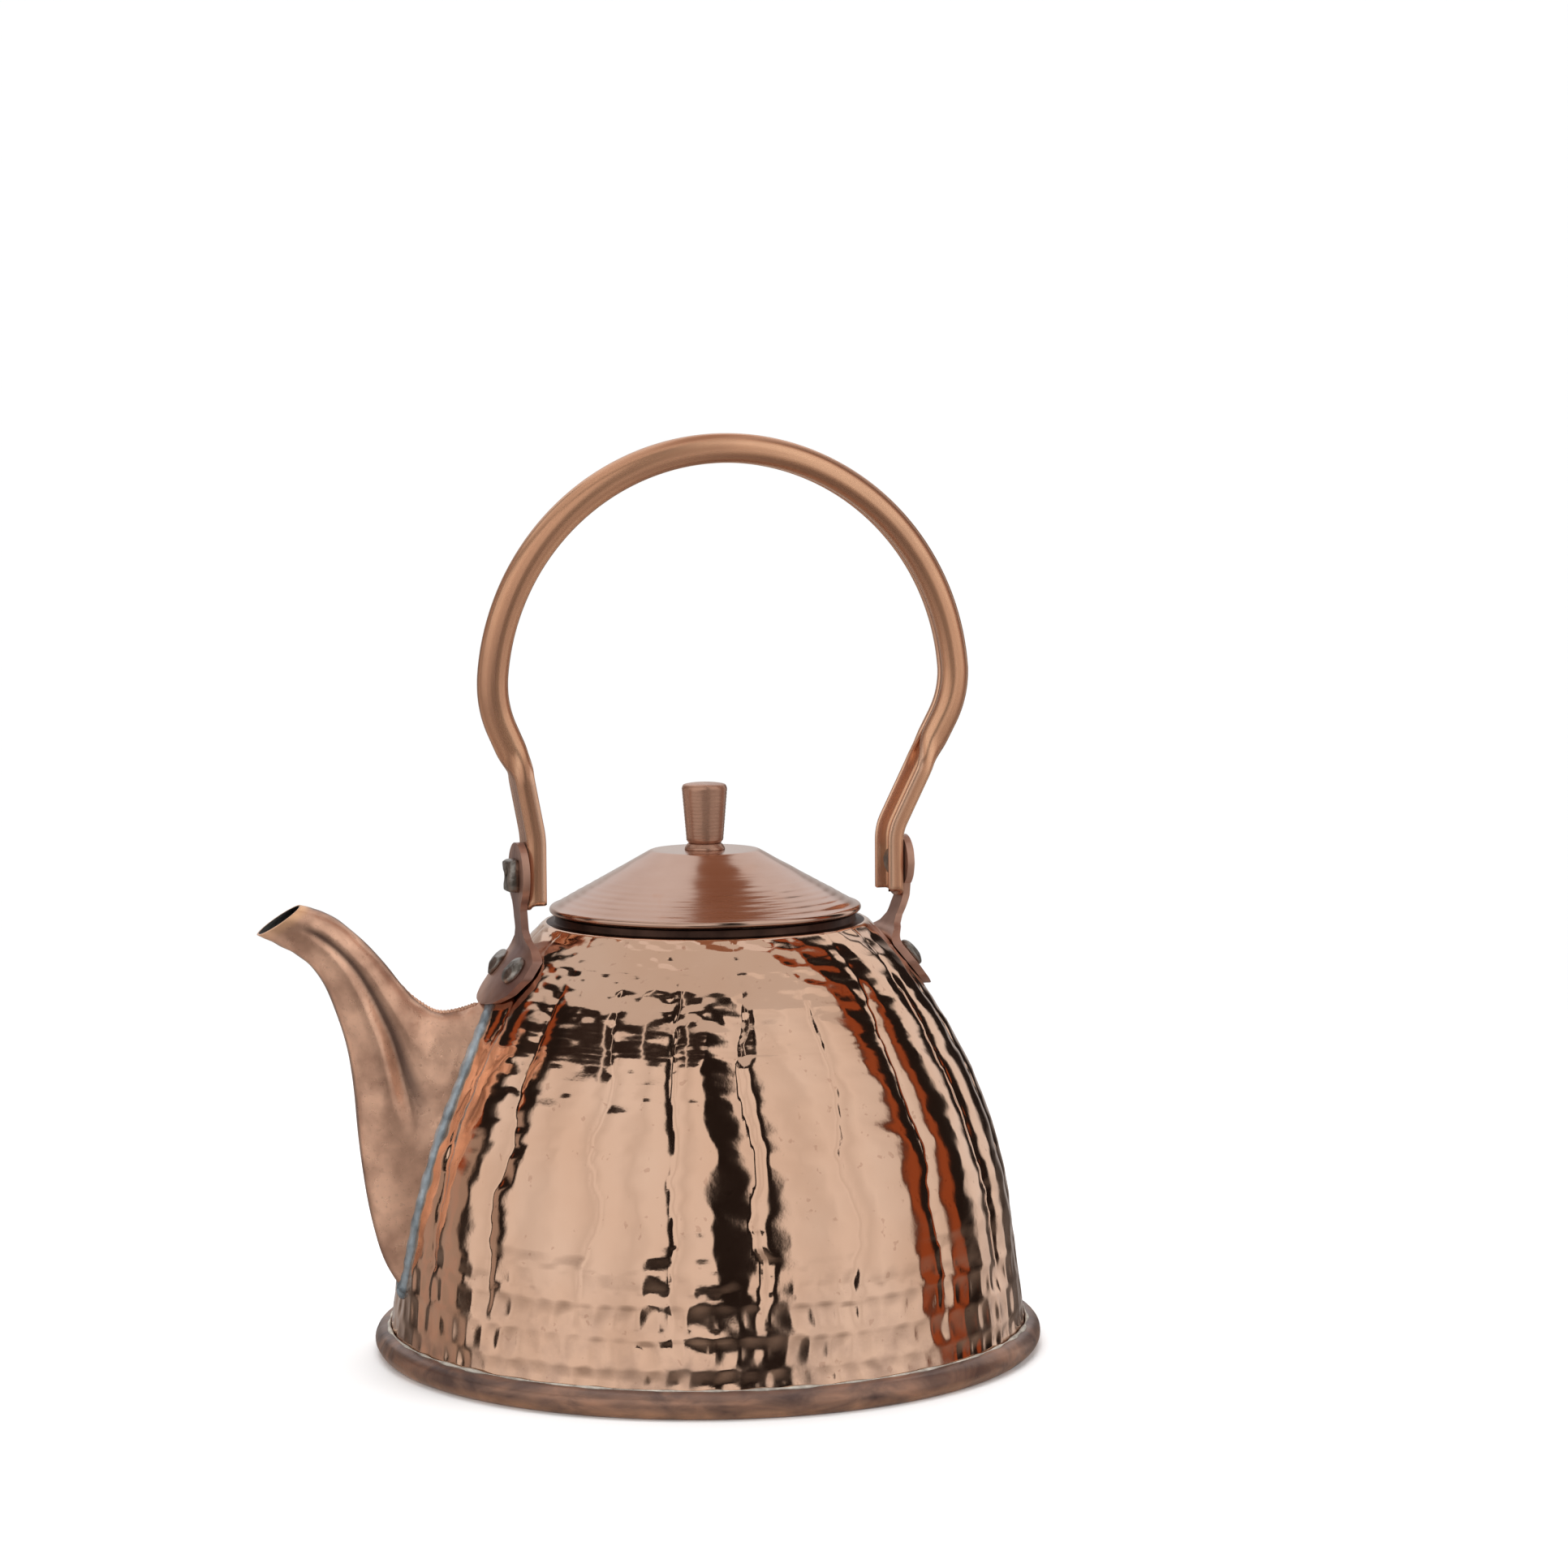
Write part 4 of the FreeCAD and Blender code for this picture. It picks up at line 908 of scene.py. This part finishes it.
def bail_path(count):
    """Evenly spaced (x, z) points along the bail's centre line."""
    reach, rise = BAIL_RADIUS * math.cos(HOOP_FOOT), BAIL_RADIUS * math.sin(HOOP_FOOT)
    legs = []
    for place, bends, sign in ((-SPOUT_LEG, SPOUT_LEG_BENDS, -1), (BACK_LEG, BACK_LEG_BENDS, 1)):
        foot = (BAIL_CENTRE + sign * reach, BAIL_HEIGHT + rise, 0)
        legs.append(bent_path([(place, LEG_END, 0)] + [(place + x, z, r) for x, z, r in bends] + [foot]))
    turn = np.linspace(math.pi - HOOP_FOOT, HOOP_FOOT, 80)[1:-1]
    hoop = np.array([BAIL_CENTRE, BAIL_HEIGHT]) + BAIL_RADIUS * np.stack([np.cos(turn), np.sin(turn)], -1)
    path = np.concatenate([legs[0], hoop, legs[1][::-1]])
    keep = np.concatenate([[True], np.linalg.norm(np.diff(path, axis=0), axis=1) > 1e-6])
    path = path[keep]
    along = np.concatenate([[0], np.cumsum(np.linalg.norm(np.diff(path, axis=0), axis=1))])
    even = np.linspace(0, along[-1], count)
    return np.stack([np.interp(even, along, path[:, 0]), np.interp(even, along, path[:, 1])], -1)


def sheet_line(share, count):
    """Half of the middle line of the bail's bent sheet, as (outward, sideways) from the back to the edge.
    share is 0 in the hoop, where the sheet is rolled nearly shut, and 1 in the legs, where it is an open
    channel."""
    half = BAIL_SHEET / 2
    reach = BAIL_WIDTH / 2 - half
    depth = BAIL_DEPTH / 2 - half
    flat = LEG_WIDTH / 2 - half
    shallow = LEG_DEPTH / 2 - half
    quarter = np.linspace(0, math.pi / 2, 5)
    rolled = [(depth - reach * (1 - math.cos(a)), reach * math.sin(a)) for a in quarter]
    rolled += [(-depth * 0.55, reach * 0.98), (-depth * 0.93, reach * 0.72), (-depth, reach * 0.3)]
    channel = [
        (shallow, 0.0),
        (shallow, flat * 0.3),
        (shallow, flat * 0.6),
        (shallow * 0.97, flat * 0.82),
        (shallow * 0.60, flat * 0.97),
        (0.0, flat),
        (-shallow * 0.5, flat),
        (-shallow, flat),
    ]
    corners = np.array(rolled) * (1 - share) + np.array(channel) * share
    length = np.concatenate([[0], np.cumsum(np.linalg.norm(np.diff(corners, axis=0), axis=1))])
    return spline(length, corners, np.linspace(0, length[-1], count))


def make_handle():
    """The bail: one strip of sheet, rolled nearly shut round the hoop and opened to a channel at each leg."""
    stations = 330
    half_count = 15
    path = bail_path(stations)
    ahead = np.gradient(path, axis=0)
    ahead /= np.linalg.norm(ahead, axis=1)[:, None]
    outward = np.stack([-ahead[:, 1], ahead[:, 0]], -1)
    rings = []
    for k, (middle, out) in enumerate(zip(path, outward)):
        rolled = smooth_step(OPENING_HEIGHT - OPENING_SPAN, OPENING_HEIGHT + OPENING_SPAN, middle[1])
        half_line = sheet_line(1 - float(rolled), half_count)
        line = np.concatenate([half_line[:0:-1] * [1, -1], half_line])
        run = np.gradient(line, axis=0)
        run /= np.linalg.norm(run, axis=1)[:, None]
        off = np.stack([run[:, 1], -run[:, 0]], -1) * (BAIL_SHEET / 2 - 0.02)
        outer, inner = line + off, line - off
        tip = []
        for end, way in ((-1, 1), (0, -1)):
            beyond = run[end] * way * BAIL_SHEET * 0.42
            caps = [line[end] - off[end] * math.sin(a) + beyond * math.cos(a) for a in way * EDGE_ANGLES]
            tip.append(caps)
        ring = np.concatenate([outer, np.array(tip[0]), inner[::-1], np.array(tip[1])])
        swell = 0.05 * (np.sin(k * 0.37) + np.sin(k * 0.113 + 2)) - 0.1
        ring = ring * (1 + 0.012 * swell)
        x = middle[0] + out[0] * ring[:, 0]
        z = middle[1] + out[1] * ring[:, 0]
        y = ring[:, 1]
        below = z < PIVOT_HEIGHT
        extent = np.sqrt(np.maximum(LEG_ROUND**2 - np.clip(y, -6, 6) ** 2, 1))
        z = np.where(below, PIVOT_HEIGHT - (PIVOT_HEIGHT - z) * extent / LEG_ROUND, z)
        rings.append(np.stack([x, y, z], -1))
    points = np.array(rings)
    columns = points.shape[1]
    faces = grid_faces(stations, columns)
    last = (stations - 1) * columns
    steps = np.linalg.norm(np.diff(points, axis=1, append=points[:, :1]), axis=-1)
    around = steps.cumsum(axis=1) * MM
    steps = np.linalg.norm(np.diff(points[:, :1], axis=0, prepend=points[:1, :1]), axis=-1)
    run = steps.cumsum(axis=0) * MM * np.ones(columns)
    # the strip's two long edges get a painted highlight
    wear_and_painted_highlight = np.zeros(columns)
    wear_and_painted_highlight[2 * half_count - 3 : 2 * half_count + 4] = 1
    wear_and_painted_highlight[-5:] = 1
    wear_and_painted_highlight[:2] = 1
    wear_and_painted_highlight = wear_and_painted_highlight * np.ones((stations, 1))
    for start in (0, last):
        for k in range(2 * half_count - 2):
            opposite = 4 * half_count - k
            faces.append([start + k, start + k + 1, start + opposite - 1, start + opposite])
    layers = (("round", around), ("run", run), ("wear_and_painted_highlight", wear_and_painted_highlight))
    new_piece("bail", points, faces, "handle", "handle_copper", ["handle_bail"], layers=layers)


# ---------------------------------------------------------------- ears and rivets
EAR_SHEET = 1.8
SIDE_CLEARANCE = 0.3
EARS = {
    "spout": {"sign": -1, "leg": SPOUT_LEG, "lobe": 8.0, "knee": [(46.85, 101.0), (47.3, 105.0)]},
    "back": {"sign": 1, "leg": BACK_LEG, "lobe": 6.6, "knee": [(47.9, 101.0), (50.6, 105.6)]},
}
EAR_OUTLINE = [
    (87.3, 0.6),
    (87.6, 4.5),
    (88.4, 8.6),
    (90.6, 13.0),
    (94.6, 15.0),
    (98.4, 13.7),
    (101.2, 9.4),
    (103.0, 5.2),
    (105.0, 3.5),
    (107.5, 3.6),
]


def ear_face(side):
    """How far the ear's inner face stands from the middle of the kettle, beside the leg."""
    return side["leg"] + LEG_DEPTH / 2 + SIDE_CLEARANCE


def ear_section_rows(side):
    """Rows of the ear from the foot's lower tip to the top of its lobe: height and half width."""
    lobe = side["lobe"]
    turn = np.radians(np.linspace(-62, 88, 16))
    heights, widths = np.array(EAR_OUTLINE).T
    heights = np.concatenate([heights, PIVOT_HEIGHT + lobe * np.sin(turn)])
    widths = np.concatenate([widths, lobe * np.cos(turn)])
    round_rows = PIVOT_HEIGHT + lobe * np.sin(np.linspace(-0.95, 1.54, 40))
    fine = np.unique(np.concatenate([np.linspace(heights[0], 110, 46), round_rows]))
    return fine, np.interp(fine, heights, widths)


def make_ear(name, side):
    """One ear: its foot lies on the dome, its neck bends away and its round lobe stands beside the leg."""
    heights, widths = ear_section_rows(side)
    back = ear_face(side) + EAR_SHEET
    columns = 25
    share = np.linspace(-1, 1, columns)
    knots = [96.0, 99.0] + [z for x, z in side["knee"]] + [110.0, 114.0, 119.0]
    foot_face = [float(wall_radius(z, EAR_SHEET)) for z in (96.0, 99.0)]
    places = foot_face + [x for x, z in side["knee"]] + [back - 0.15, back, back]
    strap = np.interp(heights, knots, places)
    kernel = np.ones(5) / 5
    padded = np.concatenate([[strap[0]] * 2, strap, [strap[-1]] * 2])
    strap = np.where(heights > 99, np.convolve(padded, kernel, "valid"), strap)
    strap = np.where(heights > 113, back, strap)
    blend = smooth_step(98.5, 102.5, heights)
    sheets = []
    for offset in (EAR_SHEET, 0.0):
        rows = []
        for z, w, flat, b in zip(heights, widths, strap, blend):
            y = share * w
            reach = wall_radius(min(z, 104.0), offset + 0.02)
            on_dome = np.sqrt(np.maximum(reach**2 - y**2, 1))
            on_strap = flat - (EAR_SHEET - offset)
            x = on_dome * (1 - b) + on_strap * b
            rows.append(np.stack([side["sign"] * x, y, np.full(columns, z)], -1))
        sheets.append(np.array(rows))
    outer, inner = sheets
    outer[:, :, 0] -= side["sign"] * 0.025 * (1 + ripple(share[None] * 3, heights[:, None] / 4, 8, 83))
    count = len(heights)
    points = np.concatenate([outer.reshape(-1, 3), inner.reshape(-1, 3)])
    faces = grid_faces(count, columns, wrap_columns=False)
    faces += grid_faces(count, columns, wrap_columns=False, start=count * columns)
    border = [r * columns for r in range(count)] + [(count - 1) * columns + c for c in range(1, columns)]
    border += [r * columns + columns - 1 for r in range(count - 2, -1, -1)] + list(range(columns - 2, 0, -1))
    shift = count * columns
    for a, b in zip(border, border[1:] + border[:1]):
        faces.append([a, b, b + shift, a + shift])
    piece = new_piece(f"{name}_ear", points, faces, "kettle", "ear_copper", [f"{name}_side_ear"])
    bevel = piece.modifiers.new("edge", "BEVEL")
    bevel.width = 0.35 * MM
    bevel.segments = 2
    bevel.angle_limit = math.radians(50)
    piece.data.set_sharp_from_angle(angle=math.radians(60))


def dome_head(radius, tall, seed, flats=5):
    """A hammered rivet head on the upright axis: a low dome with flats beaten on it."""
    chooser = np.random.default_rng(seed)
    rings, columns = 14, 40
    angle = turns(columns)
    points = []
    for k in range(rings):
        t = k / (rings - 1)
        reach = radius * math.cos(t * math.pi / 2) ** 0.8 if k < rings - 1 else 0.0002
        up = tall * (0.22 + 0.78 * math.sin(t * math.pi / 2))
        points.append(turned(reach, up, angle))
    points = np.concatenate([[points[0] * [1, 1, 0]], points])
    for _ in range(flats):
        way = np.array([*chooser.uniform(-0.65, 0.65, 2), 1.0])
        way /= np.linalg.norm(way)
        limit = (points.reshape(-1, 3) @ way).max() * chooser.uniform(0.86, 0.96)
        over = np.maximum(points @ way - limit, 0)
        points = points - over[..., None] * way * 0.85
    edge = 1 + 0.04 * np.sin(2 * angle + chooser.uniform(0, 6)) - 0.04
    points[..., :2] *= edge[None, :, None]
    faces = grid_faces(len(points), columns)
    faces.append(list(range(columns))[::-1])
    return points, faces


def block_head(half, tall, seed):
    """A squared, hammered rivet head on the upright axis."""
    columns = 48
    angle = turns(columns)
    square = 1 / (np.abs(np.cos(angle)) ** 5 + np.abs(np.sin(angle)) ** 5) ** (1 / 5)
    dents = 0.10 * np.sin(angle * 2 + 1) + 0.06 * np.sin(3 * angle)
    outline = [(1, 0), (1, 0.35), (0.97, 0.7), (0.86, 0.92), (0.6, 1.0), (0.3, 0.97), (0.0001, 0.95)]
    rows = []
    for share, up in outline:
        lift = tall * up * (1 + dents * (share < 0.9))
        rows.append(turned(half * share * square, np.minimum(lift, tall), angle))
    points = np.array(rows)
    points[..., :2] *= 1 - 0.03 * (1 + ripple(angle, 0 * angle, 6, seed))[None, :, None] * 0.5
    faces = grid_faces(len(rows), columns)
    faces.append(list(range(columns))[::-1])
    return points, faces


def merged(parts):
    """Several (points, faces) as one."""
    points, faces, start = [], [], 0
    for part_points, part_faces in parts:
        part_points = np.asarray(part_points).reshape(-1, 3)
        points.append(part_points)
        faces += [[index + start for index in face] for face in part_faces]
        start += len(part_points)
    return np.concatenate(points), faces


def shank(radius, low, high):
    """A plain pin on the upright axis."""
    corners = [(0.0001, low, 0), (radius, low, 0), (radius, high, 0), (0.0001, high, 0)]
    return lathe(rounded(corners), 32)


EAR_RIVET_ANGLE = 9.5
EAR_RIVET_HEIGHT = 94.8


def make_ear_rivets(name, side):
    """The two domed rivets of an ear's foot, each with its burr inside the wall."""
    radius = float(wall_radius(EAR_RIVET_HEIGHT))
    slope = float(wall_slope(EAR_RIVET_HEIGHT))
    for number, (place, swing) in enumerate((("front", -1), ("rear", 1))):
        azimuth = math.radians((0 if side["sign"] > 0 else 180) + side["sign"] * swing * EAR_RIVET_ANGLE)
        origin = (radius * math.cos(azimuth), radius * math.sin(azimuth), EAR_RIVET_HEIGHT)
        axis = (math.cos(azimuth) * math.cos(slope), math.sin(azimuth) * math.cos(slope), math.sin(slope))
        head_points, head_faces = dome_head(3.75, 1.95, 100 + number * 7 + side["sign"])
        head = (head_points.reshape(-1, 3) + [0, 0, EAR_SHEET], head_faces)
        burr_points, burr_faces = dome_head(2.9, 0.95, 140 + number * 7 + side["sign"], 3)
        burr = (burr_points.reshape(-1, 3) * [1, -1, -1] - [0, 0, WALL + 0.25], burr_faces)
        points, faces = merged([head, shank(1.95, -WALL - 0.4, EAR_SHEET + 0.3), burr])
        points = placed(points, origin, axis)
        node = f"{name}_ear_rivet_{place}"
        new_piece(f"{name}_rivet_{place}", points, faces, "kettle", "rivet_metal", [node])


def make_pivot_rivet(name, side, outer, inner):
    """A handle rivet: a head outside the ear, the shank and a head inside the channel of the leg."""
    face = ear_face(side)
    web_inside = side["leg"] + LEG_DEPTH / 2 - BAIL_SHEET - SIDE_CLEARANCE
    outer_points, outer_faces = outer
    inner_points, inner_faces = inner
    outer_part = (outer_points.reshape(-1, 3) + [0, 0, face + EAR_SHEET], outer_faces)
    inner_part = (inner_points.reshape(-1, 3) * [1, -1, -1] + [0, 0, web_inside], inner_faces)
    points, faces = merged([outer_part, shank(2.45, web_inside - 0.3, face + EAR_SHEET + 0.3), inner_part])
    points = placed(points, (0, 0, PIVOT_HEIGHT), (side["sign"], 0, 0))
    new_piece(f"{name}_pivot", points, faces, "kettle", "rivet_metal", [f"{name}_pivot_rivet"])


def make_ears():
    for name, side in EARS.items():
        make_ear(name, side)
        make_ear_rivets(name, side)
    make_pivot_rivet("spout", EARS["spout"], block_head(4.1, 2.55, 211), dome_head(3.4, 1.5, 212, 3))
    make_pivot_rivet("back", EARS["back"], dome_head(3.1, 0.78, 213, 2), dome_head(3.6, 2.1, 214, 6))


# ---------------------------------------------------------------- floor, light and camera
FRONT = (-0.2756, -0.9613, 0.0)
RIGHT = (0.9613, -0.2756, 0.0)
# this direction leans 21 degrees back from straight up: what lies at one angle from it is seen in the dome at
# one height all the way along
CROWN = (0.1006, 0.3509, 0.9310)


def make_stage():
    """A plain pale floor that fades into the plain background, and soft studio light."""
    mesh = bpy.data.meshes.new("floor")
    half = 1.2
    corners = [(-half, -half, 0), (half, -half, 0), (half, half, 0), (-half, half, 0)]
    mesh.from_pydata(corners, [], [[0, 1, 2, 3]])
    floor = bpy.data.objects.new("floor", mesh)
    bpy.context.collection.objects.link(floor)
    n = Nodes("pale_floor")
    n.finish((0.90, 0.90, 0.90), 0.8, 0.0)
    distance = n.add("ShaderNodeVectorMath", {0: n.place}, operation="LENGTH").outputs["Value"]
    clear = n.add("ShaderNodeBsdfTransparent").outputs[0]
    blend = n.add("ShaderNodeMixShader", {0: n.fade(distance, 0.26, 0.75), 1: n.shader.outputs[0], 2: clear})
    n.feed(n.tree.nodes["Material Output"].inputs["Surface"], blend.outputs[0])
    mesh.materials.append(n.material)
    floor.visible_glossy = False

    lights = (
        ("front_left", (-1.3, -1.5, 1.25), 1.3, 22),
        ("front_right", (1.5, -1.1, 1.1), 1.1, 16),
        ("overhead", (0.0, 0.2, 1.9), 1.4, 22),
        ("back", (0.4, 1.7, 1.2), 1.4, 14),
    )
    for name, place, size, power in lights:
        lamp = bpy.data.lights.new(name, "AREA")
        lamp.energy = power
        lamp.size = size
        light = bpy.data.objects.new(name, lamp)
        bpy.context.collection.objects.link(light)
        light.location = place
        light.visible_glossy = False
        aim = Vector((0, 0, 0.09)) - Vector(place)
        light.rotation_euler = aim.to_track_quat("-Z", "Y").to_euler()
    make_surroundings()


class Sky(Nodes):
    """The same short way of writing nodes, for the world."""

    def __init__(self, name):
        self.world = bpy.data.worlds.new(name)
        self.world.use_nodes = True
        self.tree = self.world.node_tree
        self.place = self.tree.nodes.new("ShaderNodeTexCoord").outputs["Generated"]

    def along(self, direction):
        node = self.add("ShaderNodeVectorMath", {0: self.place, 1: direction}, operation="DOT_PRODUCT")
        return node.outputs["Value"]

    def window(self, source, low, high, soft):
        """1 where the source lies between low and high, with soft edges."""
        rise = self.add("ShaderNodeMapRange", {0: source, 1: low - soft, 2: low + soft}).outputs[0]
        fall = self.add("ShaderNodeMapRange", {0: source, 1: high + soft, 2: high - soft}).outputs[0]
        return self.times(rise, fall)


def make_surroundings():
    """The room round the kettle: a white tent with dark and copper-coloured things in its gaps. What the eye
    sees straight on is plain white."""
    sky = Sky("studio")
    bpy.context.scene.world = sky.world
    across, ahead, crown = sky.along(RIGHT), sky.along(FRONT), sky.along(CROWN)
    turn = sky.times(sky.maths("ARCTAN2", across, ahead), 180 / math.pi)
    share = sky.add("ShaderNodeMapRange", {0: turn, 1: -180.0, 2: 180.0}).outputs[0]
    white, soft, grey = (1.0, 1.0, 1.0), (0.86, 0.85, 0.84), (0.45, 0.43, 0.42)
    dark, brown, orange = (0.02, 0.016, 0.015), (0.12, 0.045, 0.028), (0.36, 0.095, 0.035)
    # how many degrees round from the front, to the right
    bands = [
        (-180, soft), (-150, grey), (-138, dark), (-124, dark), (-120, orange), (-113, orange), (-110, dark),
        (-94, dark), (-90, white), (-72, soft), (-58, white), (-46, white), (-30, soft), (-14, white),
        (8, white), (12, dark), (29, dark), (32, white), (48, soft), (60, white), (86, soft), (90, brown),
        (96, orange), (103, orange), (106, dark), (122, dark), (126, white), (138, white), (142, dark),
        (158, dark), (164, grey), (180, soft),
    ]
    low = sky.ramp(share, [((degrees + 180) / 360, colour) for degrees, colour in bands])
    someone = sky.times(sky.window(turn, -13, 20, 1.5), sky.window(crown, -3, -0.335, 0.01))
    low = sky.mix(someone, low, dark)
    table = sky.add("ShaderNodeMapRange", {0: sky.along((0.0, 0.0, 1.0)), 1: -0.02, 2: -0.30}).outputs[0]
    low = sky.mix(sky.times(table, 0.75), low, (0.33, 0.30, 0.28))
    low_left = sky.times(sky.window(turn, -128, -100, 2), sky.window(crown, -3, 0.30, 0.03))
    low = sky.mix(sky.times(low_left, 0.8), low, (0.58, 0.49, 0.44))
    front = sky.window(turn, -126, 92, 3)
    top = sky.times(front, sky.window(crown, 0.645, 3, 0.012))
    colour = sky.mix(top, low, (0.76, 0.76, 0.76))
    row = sky.times(sky.window(turn, -96, 14, 2), sky.window(crown, 0.485, 0.635, 0.01))
    gap = sky.window(turn, -44, -39, 1.5)
    row = sky.times(row, sky.maths("SUBTRACT", 1.0, gap))
    colour = sky.mix(row, colour, (0.03, 0.022, 0.02))
    behind = sky.maths("SUBTRACT", 1.0, sky.window(turn, -142, 146, 2))
    cool = (0.94, 0.96, 1.0)
    colour = sky.mix(sky.times(behind, sky.window(crown, 0.60, 3, 0.02)), colour, cool)
    colour = sky.mix(sky.window(crown, 0.885, 3, 0.01), colour, cool)
    patch = sky.times(sky.window(across, -0.055, 0.225, 0.01), sky.window(crown, 0.89, 3, 0.01))
    colour = sky.mix(patch, colour, (0.36, 0.185, 0.12))
    seen = sky.add("ShaderNodeLightPath").outputs["Is Camera Ray"]
    colour = sky.mix(seen, colour, (1.36, 1.36, 1.36))
    background = sky.tree.nodes["Background"]
    sky.feed(background.inputs["Color"], colour)
    sky.feed(background.inputs["Strength"], 0.74)


CAMERA_BEARING = math.radians(-16.0)
CAMERA_DISTANCE = 0.95575
CAMERA_HEIGHT = 0.2215
CAMERA_YAW = math.radians(1.175)
CAMERA_PITCH = math.radians(4.945)
CAMERA_ROLL = math.radians(-0.355)
LENS = 89.55


def make_camera():
    """The camera stands nearly level with the handle, a little round towards the spout."""
    a, y, p, r = CAMERA_BEARING, CAMERA_YAW, CAMERA_PITCH, CAMERA_ROLL
    ahead = Vector((-math.sin(a), math.cos(a), 0))
    right = Vector((math.cos(a), math.sin(a), 0))
    up = Vector((0, 0, 1))
    ahead, right = ahead * math.cos(y) + right * math.sin(y), right * math.cos(y) - ahead * math.sin(y)
    ahead, up = ahead * math.cos(p) - up * math.sin(p), up * math.cos(p) + ahead * math.sin(p)
    right, up = right * math.cos(r) + up * math.sin(r), up * math.cos(r) - right * math.sin(r)
    lens = bpy.data.cameras.new("camera")
    lens.lens = LENS
    lens.sensor_width = 36
    camera = bpy.data.objects.new("camera", lens)
    bpy.context.collection.objects.link(camera)
    camera.matrix_world = Matrix((
        (right.x, up.x, -ahead.x, CAMERA_DISTANCE * math.sin(a)),
        (right.y, up.y, -ahead.y, -CAMERA_DISTANCE * math.cos(a)),
        (right.z, up.z, -ahead.z, CAMERA_HEIGHT),
        (0, 0, 0, 1),
    ))
    bpy.context.scene.camera = camera
    bpy.context.scene.view_settings.view_transform = "Standard"


make_camera()
make_stage()
make_body()
make_base()
make_spout()
make_lid()
make_knob()
make_handle()
make_ears()
